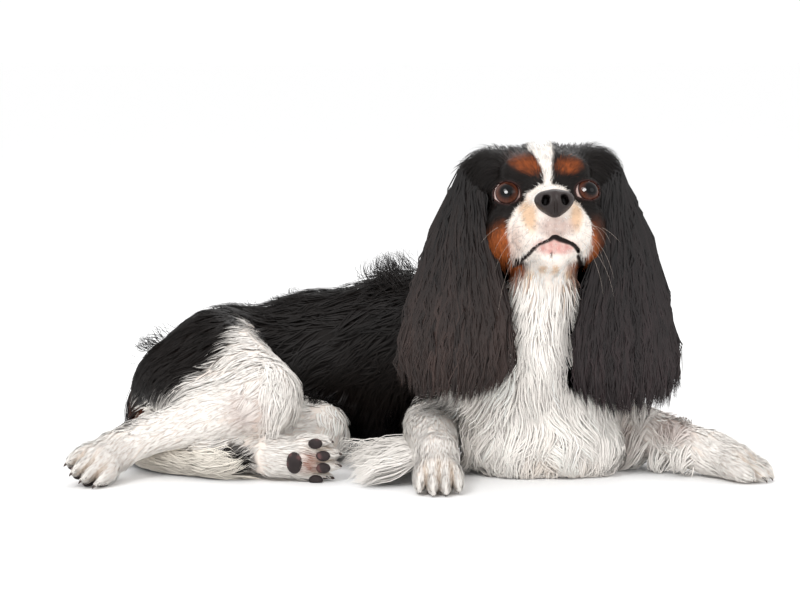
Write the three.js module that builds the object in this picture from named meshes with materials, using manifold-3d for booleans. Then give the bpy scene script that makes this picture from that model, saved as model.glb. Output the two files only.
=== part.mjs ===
// A cavalier king charles spaniel, life size, lying with its chest towards the viewer.
// The trunk bends to the side, the hips are rolled over, both hind feet lie beside the belly,
// and the head is raised. Millimetres, Z up, the floor at z = 0, the viewer on the -Y side.
import * as THREE from "three";
import { mergeVertices } from "three/addons/utils/BufferGeometryUtils.js";
import Module from "manifold-3d";

const wasm = await Module();
wasm.setup();

// Driving sizes
const gap = 0.35; // between nodes that touch
const eyeLine = [109, -15, 217]; // midway between the eyes
const headTurn = { pitch: -19, yaw: 2, roll: -1.5 }; // degrees, nose up and a little to its left
const eyeSpread = 28.5;
const eyeRadius = 11;
const earDrop = { right: 189, left: 199 }; // from the fold at the skull to the tips of the hair
const earOut = { right: [57, 70], left: [54, 63] }; // sideways from the eyes' middle, at fold and tips
const earTop = 246; // height of the fold
const earLeather = 0.5; // share of the drop that the flap itself takes, the rest is hair
const earDepth = 4; // half the thickness of the flap and its short hair at the fold, twice that lower down
const toeSpread = 9.4; // from toe to toe
const clawBase = 11; // from a toe's middle to the base of its claw

// Joints of the skeleton, as it lies
const joint = {
  chest: [100, 44, 74],
  back: [10, 130, 80],
  loin: [-70, 138, 72],
  pelvis: [-142, 126, 60],
  rump: [-192, 116, 44],
  neckBase: [94, 66, 128],
  nape: [104, 40, 186],
  elbowRight: [24, 50, 31],
  wristRight: [27, -34, 22],
  elbowLeft: [162, 70, 34],
  wristLeft: [236, 6, 18],
  hipRight: [-150, 100, 82],
  kneeRight: [-104, 12, 58],
  hockRight: [-200, 0, 29],
  footRight: [-214, -12, 22],
  hipLeft: [-140, 110, 32],
  kneeLeft: [-64, 66, 24],
  hockLeft: [-142, 4, 17],
  footLeft: [-94, -8, 17],
  tail: [[-200, 112, 34], [-214, 74, 16], [-200, 36, 14], [-168, 14, 13], [-132, -2, 13]],
};

// Small vector helpers on plain arrays
const add = (a, b, k = 1) => [a[0] + k * b[0], a[1] + k * b[1], a[2] + k * b[2]];
const minus = (a, b) => add(a, b, -1);
const dot = (a, b) => a[0] * b[0] + a[1] * b[1] + a[2] * b[2];
const cross = (a, b) => [
  a[1] * b[2] - a[2] * b[1],
  a[2] * b[0] - a[0] * b[2],
  a[0] * b[1] - a[1] * b[0],
];
const unit = (a) => a.map((x) => x / (Math.hypot(...a) || 1));
const mix = (a, b, t) => add(a.map((x) => x * (1 - t)), b, t);
const smooth = (t) => {
  const s = Math.min(Math.max(t, 0), 1);
  return s * s * (3 - 2 * s);
};

// Distance fields: each shape is a function of a point, negative inside
const egg = (centre, radii) => (point) => {
  const p = minus(point, centre);
  const near = Math.hypot(p[0] / radii[0], p[1] / radii[1], p[2] / radii[2]);
  const slope = Math.hypot(p[0] / radii[0] ** 2, p[1] / radii[1] ** 2, p[2] / radii[2] ** 2);
  return slope < 1e-9 ? -Math.min(...radii) : (near * (near - 1)) / slope;
};
const taper = (from, to, fromRadius, toRadius) => {
  const along = minus(to, from);
  const length2 = dot(along, along);
  return (point) => {
    const t = Math.min(Math.max(dot(minus(point, from), along) / length2, 0), 1);
    return Math.hypot(...minus(point, add(from, along, t))) - fromRadius - (toRadius - fromRadius) * t;
  };
};
const softMin = (a, b, k) => Math.min(a, b) - Math.max(k - Math.abs(a - b), 0) ** 2 / (4 * k);
const melt = (softness, shapes) => (point) =>
  shapes.map((shape) => shape(point)).reduce((a, b) => softMin(a, b, softness));
const grown = (field, by) => (point) => field(point) - by;

const slopeOf = (field, p) =>
  unit([0, 1, 2].map((i) => {
    const step = [0, 0, 0];
    step[i] = 0.5;
    return field(add(p, step)) - field(minus(p, step));
  }));

// Seeded random numbers from low to high, so that the coat is the same each time
const seeded = (seed) => (low, high) => {
  seed = (seed + 0x6d2b79f5) | 0;
  let t = Math.imul(seed ^ (seed >>> 15), 1 | seed);
  t = (t + Math.imul(t ^ (t >>> 7), 61 | t)) ^ t;
  return low + ((high - low) * ((t ^ (t >>> 14)) >>> 0)) / 4294967296;
};

// The head's own frame: x to the dog's left, y from nose to nape, z up, origin between the eyes
const headFrame = new THREE.Matrix4()
  .makeRotationFromEuler(
    new THREE.Euler(
      THREE.MathUtils.degToRad(headTurn.pitch),
      THREE.MathUtils.degToRad(headTurn.roll),
      THREE.MathUtils.degToRad(headTurn.yaw),
      "ZXY",
    ),
  )
  .setPosition(...eyeLine);
const headInverse = headFrame.clone().invert();
const inHead = (p) => new THREE.Vector3(...p).applyMatrix4(headFrame).toArray();
const toHead = (p) => new THREE.Vector3(...p).applyMatrix4(headInverse).toArray();
const sides = { right: -1, left: 1 };
const bothSides = (make) => Object.values(sides).flatMap(make);

const headShapes = melt(9, [
  egg([0, 44, 8], [44, 54, 40]), // skull
  taper([0, -2, -6], [0, -30, -14], 13, 11), // bridge of the nose
  taper([0, 8, -26], [0, -28, -27], 26, 18), // muzzle
  taper([0, 30, -40], [0, -18, -52], 22, 13), // lower jaw
  ...bothSides((s) => [
    egg([19 * s, 6, 17], [16, 14, 12]), // brow
    egg([36 * s, 38, 24], [24, 24, 21]), // base of the ear
    egg([28 * s, 10, -17], [14, 13, 10]), // cheekbone
    egg([25 * s, 28, -24], [22, 32, 28]), // cheek
    egg([14.5 * s, -17, -35], [16.5, 25, 19]), // flews
  ]),
]);
const headField = (p) => headShapes(toHead(p));

const noseCentre = [0, -45, -21];
const noseShapes = melt(3, [
  egg(noseCentre, [11, 9, 10.5]),
  ...bothSides((s) => [egg([7.5 * s, -44, -20], [7.5, 8, 8])]),
]);
const noseField = (p) => noseShapes(toHead(p));

const neckField = melt(20, [
  taper(joint.nape, joint.neckBase, 40, 54),
  taper(inHead([0, 26, -46]), [100, 18, 96], 26, 44),
]);
const torsoField = melt(26, [
  egg([96, 56, 72], [62, 62, 68]), // forechest and shoulders
  egg([62, 96, 82], [60, 56, 70]),
  egg([6, 126, 78], [68, 56, 70]), // ribs
  egg([-66, 136, 70], [66, 52, 62]), // belly and loin
  egg([-136, 124, 60], [58, 54, 58]), // pelvis
  egg([-184, 114, 42], [36, 38, 36]), // rump
]);

// Limbs as chains of tapers
const thighRightField = melt(18, [
  taper(joint.hipRight, joint.kneeRight, 46, 30),
  taper(add(joint.hipRight, [-30, 0, -18]), mix(joint.kneeRight, joint.hockRight, 0.45), 38, 22),
]);
const shinRightField = melt(10, [
  taper(joint.kneeRight, joint.hockRight, 29, 15),
  taper(joint.hockRight, joint.footRight, 16, 13),
]);
const thighLeftField = taper(joint.hipLeft, joint.kneeLeft, 36, 26);
const shinLeftField = melt(8, [
  taper(joint.kneeLeft, joint.hockLeft, 24, 14),
  taper(joint.hockLeft, joint.footLeft, 15, 14),
]);
const forelegField = (elbow, wrist) => taper(joint[elbow], joint[wrist], 25, 18);

// Paws: where each starts, which way its toes point and which way its upper side faces
const paws = {
  forepaw_right: { at: joint.wristRight, ahead: [0.03, -0.95, -0.3], top: [0, 0, 1], long: 1.15 },
  forepaw_left: { at: joint.wristLeft, ahead: [0.8, -0.58, -0.2], top: [0, 0, 1], long: 1.15 },
  hindpaw_right: { at: joint.footRight, ahead: [-0.5, -0.84, -0.2], top: [0.55, 0, 0.83], long: 0.95 },
  hindpaw_left: { at: joint.footLeft, ahead: [0.98, -0.08, 0], top: [-0.08, 0.98, 0.1], long: 1.1 },
};
const toes = [-1.5, -0.5, 0.5, 1.5];
const toeReach = (i) => 34 - 2.6 * i * i;
for (const paw of Object.values(paws)) {
  paw.ahead = unit(paw.ahead);
  paw.across = unit(cross(paw.ahead, paw.top));
  paw.top = cross(paw.across, paw.ahead);
  const [x, y, z] = [paw.across, paw.ahead, paw.top].map((v) => new THREE.Vector3(...v));
  paw.frame = new THREE.Matrix4().makeBasis(x, y, z).setPosition(...paw.at);
  paw.inverse = paw.frame.clone().invert();
}
const pawField = ({ inverse, long }) => {
  const shapes = melt(4, [
    taper([0, 0, 0], [0, 16 * long, -1], 17, 16),
    egg([0, 20 * long, -2], [20, 16, 15]),
    ...toes.map((i) => egg([i * toeSpread, toeReach(i) * long, -3], [6, 14, 10])),
  ]);
  return (p) => shapes(new THREE.Vector3(...p).applyMatrix4(inverse).toArray());
};
const inPaw = ({ frame }, p) => new THREE.Vector3(...p).applyMatrix4(frame).toArray();

// A ray from inside a field out to its surface
const stride = 5;
const reach = (field, from, way) => {
  let [inside, outside] = [0, stride];
  while (field(add(from, way, outside)) < 0) [inside, outside] = [outside, outside + stride];
  for (let i = 0; i < 12; i++) {
    const half = (inside + outside) / 2;
    if (field(add(from, way, half)) < 0) inside = half;
    else outside = half;
  }
  return add(from, way, inside);
};

// A closed mesh through rings of equal count; the first and last rings may be single points
const loft = (rings) => {
  const count = Math.max(...rings.map((r) => r.length));
  const starts = [];
  const positions = [];
  const index = [];
  const closed = [...rings];
  const centre = (ring) => [ring.reduce((a, p) => add(a, p, 1 / ring.length), [0, 0, 0])];
  if (closed[0].length > 1) closed.unshift(centre(closed[0]));
  if (closed.at(-1).length > 1) closed.push(centre(closed.at(-1)));
  for (const ring of closed) {
    starts.push(positions.length / 3);
    ring.forEach((p) => positions.push(...p));
  }
  for (let i = 0; i + 1 < closed.length; i++) {
    for (let j = 0; j < count; j++) {
      const next = (j + 1) % count;
      const [a, b] = [starts[i], starts[i + 1]];
      if (closed[i].length === 1) index.push(a, b + j, b + next);
      else if (closed[i + 1].length === 1) index.push(a + j, b, a + next);
      else index.push(a + j, b + j, b + next, a + j, b + next, a + next);
    }
  }
  return new THREE.BufferGeometry()
    .setAttribute("position", new THREE.Float32BufferAttribute(positions, 3))
    .setIndex(index);
};

const curveOf = (points, closed = false) =>
  new THREE.CatmullRomCurve3(points.map((p) => new THREE.Vector3(...p)), closed, "centripetal");

// Rays cast outwards from a bone line, with a fan of rays round each of its ends
const wrap = (field, path, { stations, around, fan, up = [0, 0, 1] }) => {
  const curve = curveOf(path);
  const origins = [];
  for (let i = -fan; i <= stations + fan; i++) {
    const t = Math.min(Math.max(i / stations, 0), 1);
    const tilt = i < 0 ? i / fan : Math.max(i - stations, 0) / fan;
    origins.push({
      at: curve.getPointAt(t).toArray(),
      along: curve.getTangentAt(t).toArray(),
      tilt: (tilt * Math.PI) / 2,
    });
  }
  return loft(origins.map(({ at, along, tilt }, i) => {
    if (i === 0 || i === origins.length - 1) {
      return [reach(field, at, along.map((x) => x * Math.sign(tilt)))];
    }
    const across = unit(cross(up, along));
    const over = cross(along, across);
    return Array.from({ length: around }, (_, j) => {
      const turn = (j / around) * 2 * Math.PI;
      const out = add(across.map((x) => x * Math.cos(turn)), over, Math.sin(turn));
      return reach(field, at, add(out.map((x) => x * Math.cos(tilt)), along, Math.sin(tilt)));
    });
  }));
};

// A closed mesh as a solid, whichever way its faces were wound
const solidOf = (geometry) => {
  const bare = geometry.clone();
  bare.deleteAttribute("normal");
  bare.deleteAttribute("uv");
  const merged = mergeVertices(bare, 1e-4);
  const vertProperties = merged.attributes.position.array;
  const make = (triVerts) => new wasm.Manifold(new wasm.Mesh({ numProp: 3, vertProperties, triVerts }));
  const made = make(new Uint32Array(merged.index.array));
  if (made.volume() > 0) return made;
  return make(new Uint32Array(merged.index.array).reverse());
};
const joinAll = (solids) => wasm.Manifold.union(solids);
const largest = (solid) => solid.decompose().reduce((a, b) => (a.volume() > b.volume() ? a : b));

// Above the floor only
const floorBlock = solidOf(new THREE.BoxGeometry(1600, 1600, 200).translate(0, 0, -100));

// A lock of hair: a low ridge, flat below, tapered along a path whose points say which way is out
const lock = (path, width, thick) => (by) =>
  solidOf(loft(path.map(({ at, over }, i) => {
    const last = path.length - 1;
    const t = i / last;
    const along = unit(minus(path[Math.min(i + 1, last)].at, path[Math.max(i - 1, 0)].at));
    if (i === 0 || i === last) return [add(at, along, i ? 4 * by : -4 * by)];
    const across = unit(cross(along, over));
    const up = cross(across, along);
    const full = (0.5 + 0.5 * smooth(3 * t)) * (1 - 0.62 * t ** 3);
    const wide = width * full + 3.6 * by;
    const deep = thick * full + by;
    const corners = [[wide, -deep], [0, deep + 0.5 * by], [-wide, -deep]];
    return corners.map(([x, z]) => add(add(at, across, x), up, z));
  })));

// The path of a lock that lies on a surface: sunk at its root, lifted at its tip, never under the floor
const comb = (field, root, lie, { length, lift, sink = 7, wave = 0, steps = 4 }) => {
  let at = root;
  return Array.from({ length: steps + 1 }, (_, i) => {
    const t = i / steps;
    const over = slopeOf(field, at);
    const high = add(at, over, -sink + (sink + 2) * smooth(3 * t) + (lift - 2) * t ** 1.5);
    const way = unit(add(lie, over, -dot(lie, over)));
    const aside = cross(way, over);
    const point = { at: add(high, aside, wave * Math.sin(4.4 * t)), over };
    point.at[2] = Math.max(point.at[2], i === 0 ? 0 : 2.2);
    const next = add(at, way, length / steps);
    at = add(next, slopeOf(field, next), -field(next));
    return point;
  });
};

// Each node: its solid, and the same a gap larger, which all later nodes are cut by
const nodes = new Map();
const place = (name, make, material) => {
  const clear = joinAll([floorBlock, ...[...nodes.values()].map(({ wider }) => wider)]);
  const made = make(0);
  nodes.set(name, { solid: largest(made.subtract(clear)), wider: joinAll([made, make(gap)]), material });
};

// Materials, from the photograph
const finish = (color, roughness) => new THREE.MeshStandardMaterial({ color, roughness, metalness: 0 });
const blackCoat = finish(0x17130f, 0.7);
const whiteCoat = finish(0xe9e2da, 0.75);
const earCoat = finish(0x241b17, 0.65);
const creamCoat = finish(0xcfbfa4, 0.75);
const noseLeather = finish(0x1d1a19, 0.45);
const eyeBrown = finish(0x2a120a, 0.08);
const clawHorn = finish(0x2b211d, 0.4);

const wrapSolid = (field, path, options) => (by) => solidOf(wrap(grown(field, by), path, options));
const ball = (centre, radius, detail = 2) =>
  solidOf(new THREE.IcosahedronGeometry(radius, detail).translate(...centre));
const tube = (points, radius, steps, corners = 3) => {
  const section = new THREE.Shape().absarc(0, 0, radius, 0, 2 * Math.PI);
  const options = { extrudePath: curveOf(points), steps, curveSegments: corners };
  return solidOf(new THREE.ExtrudeGeometry(section, options));
};

// The eyes, and a ring of lid round each
const eyeCentre = (s) => inHead([eyeSpread * s, 7, 0]);
const gaze = (s) => unit(minus(inHead([0.24 * s, -1, 0.02]), inHead([0, 0, 0])));
for (const [side, s] of Object.entries(sides)) {
  place(`eye_${side}`, (by) => ball(eyeCentre(s), eyeRadius + by), eyeBrown);
}
const lid = (s) => {
  const centre = add(eyeCentre(s), gaze(s), 4.4);
  const across = unit(cross(gaze(s), [0, 0, 1]));
  const over = cross(across, gaze(s));
  const at = (turn) => {
    const flat = add(across.map((x) => x * 11.6 * Math.cos(turn)), over, 10 * Math.sin(turn));
    return add(add(centre, flat), gaze(s), 1 - 1.6 * Math.cos(turn) ** 2);
  };
  const count = 14;
  const ring = Array.from({ length: count }, (_, i) => at((i / count) * 2 * Math.PI));
  return solidOf(new THREE.TubeGeometry(curveOf(ring, true), count, 2.7, 5, true));
};

// The line of the mouth, followed round the muzzle from corner to corner
const mouthLine = Array.from({ length: 13 }, (_, i) => {
  const t = i / 6 - 1;
  const turn = t * 1.05;
  const from = [12 * t, -2, -43 - 13 * smooth(Math.abs(t))];
  const way = unit([Math.sin(turn), -Math.cos(turn), 0]);
  return inHead(reach(headShapes, from, way));
});

// A bone line with a ray from it at a share of its length and a turn, out to the surface
const boneRay = (path, up) => {
  const curve = curveOf(path);
  return (field, t, degrees) => {
    const along = curve.getTangentAt(t).toArray();
    const across = unit(cross(up, along));
    const turn = THREE.MathUtils.degToRad(degrees);
    const out = add(across.map((x) => x * Math.cos(turn)), cross(along, across), Math.sin(turn));
    return reach(field, curve.getPointAt(t).toArray(), out);
  };
};

// Rows of locks over a surface. Each row: at is a share of the bone, turns are the first and last angle,
// and lie, which may depend on the root, is the way the hair runs.
const growLocks = (field, bone, seed, rows) => {
  const random = seeded(seed);
  return rows.flatMap(({ at, turns, count, lie, length, lift, width, thick = 3.2 }) =>
    Array.from({ length: count }, (_, i) => {
      const share = i / (count - 1);
      const t = THREE.MathUtils.lerp(...at, share) + random(-0.02, 0.02);
      const angle = THREE.MathUtils.lerp(...turns, share) + random(-5, 5);
      const root = bone(field, Math.min(Math.max(t, 0), 1), angle);
      const flow = add(unit(lie(root)), [random(-0.14, 0.14), random(-0.14, 0.14), random(-0.1, 0.1)]);
      const path = comb(field, root, flow, {
        length: length * random(0.85, 1.15),
        lift: lift * random(0.7, 1.3),
        wave: random(-3, 3),
      });
      return lock(path, width * random(0.85, 1.15), thick);
    }));
};
const furred = (core, locks) => (by) => joinAll([core(by), ...locks.map((one) => one(by))]);

// The forechest and its bib, which falls to the floor between the forelegs
const chestField = melt(16, [
  egg([96, 56, 72], [60, 62, 66]),
  egg([110, 16, 60], [56, 27, 62]),
  egg([112, 12, 20], [60, 26, 28]),
]);
const chestPath = [[104, 46, 108], [108, 34, 74], [110, 24, 26]];
const chestFall = (p) => [0.5 * (p[0] - 110) / 50, -0.22, -1];
const chestRow = { turns: [-155, -25], lie: chestFall, length: 46, lift: 7, width: 8.5 };
const chestLocks = growLocks(chestField, boneRay(chestPath, [0, 1, 0]), 11, [
  { ...chestRow, at: [0.02, 0.02], count: 4 },
  { ...chestRow, at: [0.28, 0.28], count: 5 },
  { ...chestRow, at: [0.52, 0.52], count: 4 },
  { ...chestRow, at: [0.78, 0.78], count: 5, length: 34, lift: 10 },
]);
const chestWrap = wrapSolid(chestField, chestPath, { stations: 6, around: 18, fan: 3, up: [0, 1, 0] });
place("chest", furred(chestWrap, chestLocks), whiteCoat);

// The trunk, its hair running back and down
const torsoPath = [joint.chest, [64, 92, 80], joint.back, joint.loin, joint.pelvis, joint.rump];
const alongBack = () => [-1, 0.05, 0.1];
const downFlank = (p) => [-0.8, 0, -0.75 + p[2] / 400];
const overRump = () => [-0.75, -0.1, -0.6];
const torsoLocks = growLocks(torsoField, boneRay(torsoPath, [0, 0, 1]), 23, [
  { at: [0.2, 0.92], turns: [88, 92], count: 6, lie: alongBack, length: 40, lift: 12, width: 7 },
  { at: [0.28, 0.86], turns: [60, 64], count: 5, lie: alongBack, length: 50, lift: 7, width: 9 },
  { at: [0.22, 0.8], turns: [30, 34], count: 5, lie: downFlank, length: 56, lift: 6, width: 10 },
  { at: [0.3, 0.7], turns: [-6, -6], count: 4, lie: downFlank, length: 50, lift: 8, width: 9 },
  { at: [0.2, 0.86], turns: [122, 122], count: 4, lie: alongBack, length: 54, lift: 7, width: 11 },
  { at: [0.2, 0.86], turns: [156, 156], count: 4, lie: downFlank, length: 58, lift: 7, width: 11 },
  { at: [0.96, 1], turns: [20, 150], count: 5, lie: overRump, length: 38, lift: 9, width: 7 },
]);
const torsoWrap = wrapSolid(torsoField, torsoPath, { stations: 11, around: 18, fan: 3 });
place("torso", furred(torsoWrap, torsoLocks), blackCoat);

// The head, with lids round the eyes and the mouth's line sunk in
const headPath = [[0, 44, -6], [0, 4, -18], [0, -22, -29]].map(inHead);
const headWrap = wrapSolid(headField, headPath, { stations: 9, around: 24, fan: 4 });
const mouthCut = tube(mouthLine, 1.8, 16, 2);
const eyeOpening = (s) => ball(add(eyeCentre(s), gaze(s), 12), 10, 1);
const headMass = (by) => headWrap(by).subtract(joinAll(bothSides(eyeOpening)));
place("head", (by) => joinAll([headMass(by), ...bothSides(lid)]).subtract(mouthCut), blackCoat);

// The neck, its ruff falling over the top of the bib
const neckFall = (p) => [0.4 * (p[0] - 108) / 40, -0.25, -1];
const neckRow = { turns: [35, 145], lie: neckFall, length: 40, lift: 6, width: 6.5 };
const neckLocks = growLocks(neckField, boneRay([[100, 40, 112], [107, 20, 176]], [0, -1, 0]), 31, [
  { ...neckRow, at: [0.9, 0.9], count: 3, turns: [55, 125] },
  { ...neckRow, at: [0.5, 0.5], count: 4 },
  { ...neckRow, at: [0.12, 0.12], count: 5, length: 46 },
]);
const neckOptions = { stations: 4, around: 18, fan: 3, up: [0, 1, 0] };
const neckWrap = wrapSolid(neckField, [joint.neckBase, joint.nape], neckOptions);
place("neck", furred(neckWrap, neckLocks), whiteCoat);

// The nose and its nostrils
const nostril = (s) => joinAll([
  tube([[5 * s, -56, -20], [5.4 * s, -50, -21], [5 * s, -44, -22]].map(inHead), 2.6, 3),
  tube([[5.4 * s, -53, -22], [9 * s, -51, -24], [13 * s, -48, -24.5]].map(inHead), 1.3, 3, 2),
]);
const nosePath = [[0, -40, -21], [0, -46, -21]].map(inHead);
const noseWrap = wrapSolid(noseField, nosePath, { stations: 1, around: 16, fan: 3 });
place("nose", (by) => noseWrap(by).subtract(joinAll(bothSides(nostril))), noseLeather);

// Hind legs: the near one lies on top, its foot beyond the far one's hock
const thighRightPath = [joint.hipRight, joint.kneeRight];
const overHip = () => [-0.8, -0.35, -0.3];
const downThigh = () => [-0.8, -0.2, -0.6];
const towardsKnee = () => [0.35, -0.5, -0.8];
const thighLocks = growLocks(thighRightField, boneRay(thighRightPath, [0, 0, 1]), 47, [
  { at: [0.1, 0.75], turns: [118, 100], count: 4, lie: overHip, length: 44, lift: 7, width: 8 },
  { at: [0, 0.6], turns: [170, 160], count: 4, lie: downThigh, length: 46, lift: 7, width: 8 },
  { at: [0.5, 1], turns: [70, 30], count: 4, lie: towardsKnee, length: 36, lift: 6, width: 7 },
]);
const thighRightWrap = wrapSolid(thighRightField, thighRightPath, { stations: 4, around: 14, fan: 3 });
place("thigh_right", furred(thighRightWrap, thighLocks), blackCoat);
const shinRightPath = [mix(joint.kneeRight, joint.hockRight, 0.2), joint.hockRight];
place("shin_right", wrapSolid(shinRightField, shinRightPath, { stations: 5, around: 14, fan: 3 }), whiteCoat);
const thighLeftPath = [joint.hipLeft, joint.kneeLeft];
place("thigh_left", wrapSolid(thighLeftField, thighLeftPath, { stations: 3, around: 14, fan: 3 }), whiteCoat);
const shinLeftPath = [joint.kneeLeft, mix(joint.hockLeft, joint.footLeft, 0.3)];
place("shin_left", wrapSolid(shinLeftField, shinLeftPath, { stations: 4, around: 12, fan: 3 }), whiteCoat);

// Forelegs, with feathering from the back of the forearm to the floor
const feathering = {
  right: { turns: [165, 185], lie: () => [-0.85, -0.4, -0.42], count: 3, length: 50 },
  left: { turns: [172, 185], lie: () => [-0.35, -0.7, -0.6], count: 4, length: 38 },
};
for (const [side, feathers] of Object.entries(feathering)) {
  const name = side === "right" ? "Right" : "Left";
  const path = [joint[`elbow${name}`], joint[`wrist${name}`]];
  const field = forelegField(`elbow${name}`, `wrist${name}`);
  const row = { ...feathers, at: [0.1, 0.85], lift: 6, width: 7, thick: 2.8 };
  const rows = [0, 24].map((turn) => ({ ...row, turns: feathers.turns.map((a) => a + turn) }));
  const locks = growLocks(field, boneRay(path, [0, 0, 1]), 53, rows);
  const foreleg = wrapSolid(field, path, { stations: 4, around: 14, fan: 3 });
  place(`foreleg_${side}`, furred(foreleg, locks), whiteCoat);
}
for (const [name, paw] of Object.entries(paws)) {
  const path = [[0, 0, 0], [0, 26 * paw.long, -2]].map((p) => inPaw(paw, p));
  place(name, wrapSolid(pawField(paw), path, { stations: 3, around: 16, fan: 3, up: paw.top }), whiteCoat);
}

// Claws, one at the tip of each toe, curving down
const clawLine = [[-5, -2], [1, -2.5], [3.5, -4.2], [6, -6]];
for (const [name, paw] of Object.entries(paws)) {
  toes.forEach((toe, i) => {
    const base = toeReach(toe) * paw.long + clawBase;
    const path = clawLine.map(([ahead, up]) => ({
      at: inPaw(paw, [toe * toeSpread, base + ahead, up]),
      over: paw.top,
    }));
    place(`claw_${name}_${i + 1}`, lock(path, 2, 2.4), clawHorn);
  });
}

// Ears: a leather flap hangs from the side of the skull, and locks from both its faces fall to a round hem
const earSides = Object.entries(sides).map(([name, s]) => {
  const outer = [0.93 * s, 0.36, 0];
  const front = [0.36 * s, -0.93, 0];
  const middle = (h) => [
    eyeLine[0] + s * (THREE.MathUtils.lerp(...earOut[name], h) - 22 * (1 - smooth(h / 0.06))),
    22 - 32 * smooth(1.3 * h),
    earTop - earDrop[name] * h,
  ];
  const halfWidth = (side, h) => 15 + 28 * smooth(h / 0.85) + (side < 0 ? 9 * smooth((h - 0.25) / 0.5) : 0);
  const onSheet = (side, h, depth) =>
    add(add(middle(h), outer, side * halfWidth(side, h)), front, depth - 7 * side * side);
  return { name, onSheet, front };
});
const earCore = ({ onSheet }) => (by) => {
  const steps = 6;
  const around = 10;
  return solidOf(loft(Array.from({ length: steps + 1 }, (_, i) => {
    const h = (i / steps) * earLeather;
    const end = 1 - 0.55 * smooth(i / steps - 0.4);
    const deep = earDepth * (1 + smooth(4 * h)) * end + by;
    return Array.from({ length: around }, (_, j) => {
      const turn = (j / around) * 2 * Math.PI;
      const side = 0.86 * Math.cos(turn) * end * (1 + by / 20);
      return onSheet(side, h - by / 100, deep * Math.sin(turn));
    });
  })));
};
const earRows = [
  { from: 0.03, to: 0.5, side: 0.5, depth: 6, count: 2 },
  { from: 0.2, to: 0.76, side: 0.78, depth: 8.5, count: 3 },
  { from: 0.38, to: 0.98, side: 0.86, depth: 7, count: 4 },
  { from: 0.42, to: 1, side: 0.66, depth: 0, count: 3 },
  { from: 0.38, to: 0.97, side: 0.84, depth: -7, count: 4 },
];
const earLock = { width: 11, thick: 4.2 };
for (const [i, ear] of earSides.entries()) {
  const random = seeded(61 + i);
  const locks = earRows.flatMap(({ from, to, side, depth, count }) =>
    Array.from({ length: count }, (_, j) => {
      const aside = (2 * side * j) / (count - 1) - side + random(-0.05, 0.05);
      const end = to - 0.13 * aside ** 2 * to + random(-0.04, 0.01);
      const wave = random(-0.07, 0.07);
      const path = [0, 0.26, 0.6, 0.88, 1].map((t) => {
        const h = THREE.MathUtils.lerp(from, end, t);
        const inward = 1 - 0.12 * smooth((h - 0.8) / 0.2);
        return {
          at: ear.onSheet(aside * inward + wave * Math.sin(6 * t), h, depth * smooth(2.5 * t)),
          over: ear.front.map((x) => x * (depth < 0 ? -1 : 1)),
        };
      });
      return lock(path, earLock.width, earLock.thick);
    }));
  place(`ear_${ear.name}`, furred(earCore(ear), locks), earCoat);
}

// Tail: laid along the floor behind the hock, its plume coming out under the shin
const tailCurve = curveOf(joint.tail);
const tailCore = (by) => {
  const steps = 9;
  const around = 8;
  return solidOf(loft(Array.from({ length: steps + 1 }, (_, i) => {
    const t = i / steps;
    const along = tailCurve.getTangentAt(t).toArray();
    const across = unit(cross([0, 0, 1], along));
    const over = cross(along, across);
    const thick = 9 - 4 * smooth((t - 0.5) / 0.5) + by;
    return Array.from({ length: around }, (_, j) => {
      const turn = (j / around) * 2 * Math.PI;
      const flat = add(tailCurve.getPointAt(t).toArray(), across, 1.2 * thick * Math.cos(turn));
      return add(flat, over, thick * Math.sin(turn));
    });
  })));
};
const plume = { count: 10, length: 52, width: 6.5, thick: 3.4 };
const tailRandom = seeded(71);
const tailLocks = Array.from({ length: plume.count }, (_, i) => {
  const t = 0.12 + (0.86 * i) / (plume.count - 1);
  const along = tailCurve.getTangentAt(t).toArray();
  const across = unit(cross([0, 0, 1], along));
  const lean = [1, -1, 0.2][i % 3];
  const way = unit(add(add(along, across, 0.75 * lean), [0, 0, 1], i % 3 === 2 ? 0.4 : 0.05));
  const from = tailCurve.getPointAt(t).toArray();
  const steps = 4;
  const path = Array.from({ length: steps + 1 }, (_, k) => {
    const s = k / steps;
    const at = add(add(from, way, plume.length * s), across, tailRandom(-1, 1) * 3 * s);
    return { at: [at[0], at[1], Math.max(at[2] + 8 * Math.sin(3 * s), 3)], over: [0, 0, 1] };
  });
  return lock(path, plume.width, plume.thick);
});
place("tail", furred(tailCore, tailLocks), creamCoat);

// The finished model, its origin under the middle of its box
const dog = new THREE.Group();
for (const [name, { solid, material }] of nodes) {
  const { vertProperties, triVerts } = solid.getMesh();
  const geometry = new THREE.BufferGeometry()
    .setAttribute("position", new THREE.BufferAttribute(vertProperties, 3))
    .setIndex(new THREE.BufferAttribute(triVerts, 1));
  const mesh = new THREE.Mesh(geometry, material);
  mesh.name = name;
  dog.add(mesh);
}
const span = new THREE.Box3().setFromObject(dog).getCenter(new THREE.Vector3());
dog.position.set(-span.x, -span.y, 0);
export default dog;
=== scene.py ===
# A cavalier king charles spaniel lying with its head raised: skin, coat, eyes, nose, claws and pads.
# Shapes are worked out in millimetres in the dog's own frame, then moved to the frame in metres.
import math

import bmesh
import bpy
import numpy as np
from mathutils import Matrix, Vector
from mathutils.kdtree import KDTree


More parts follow.
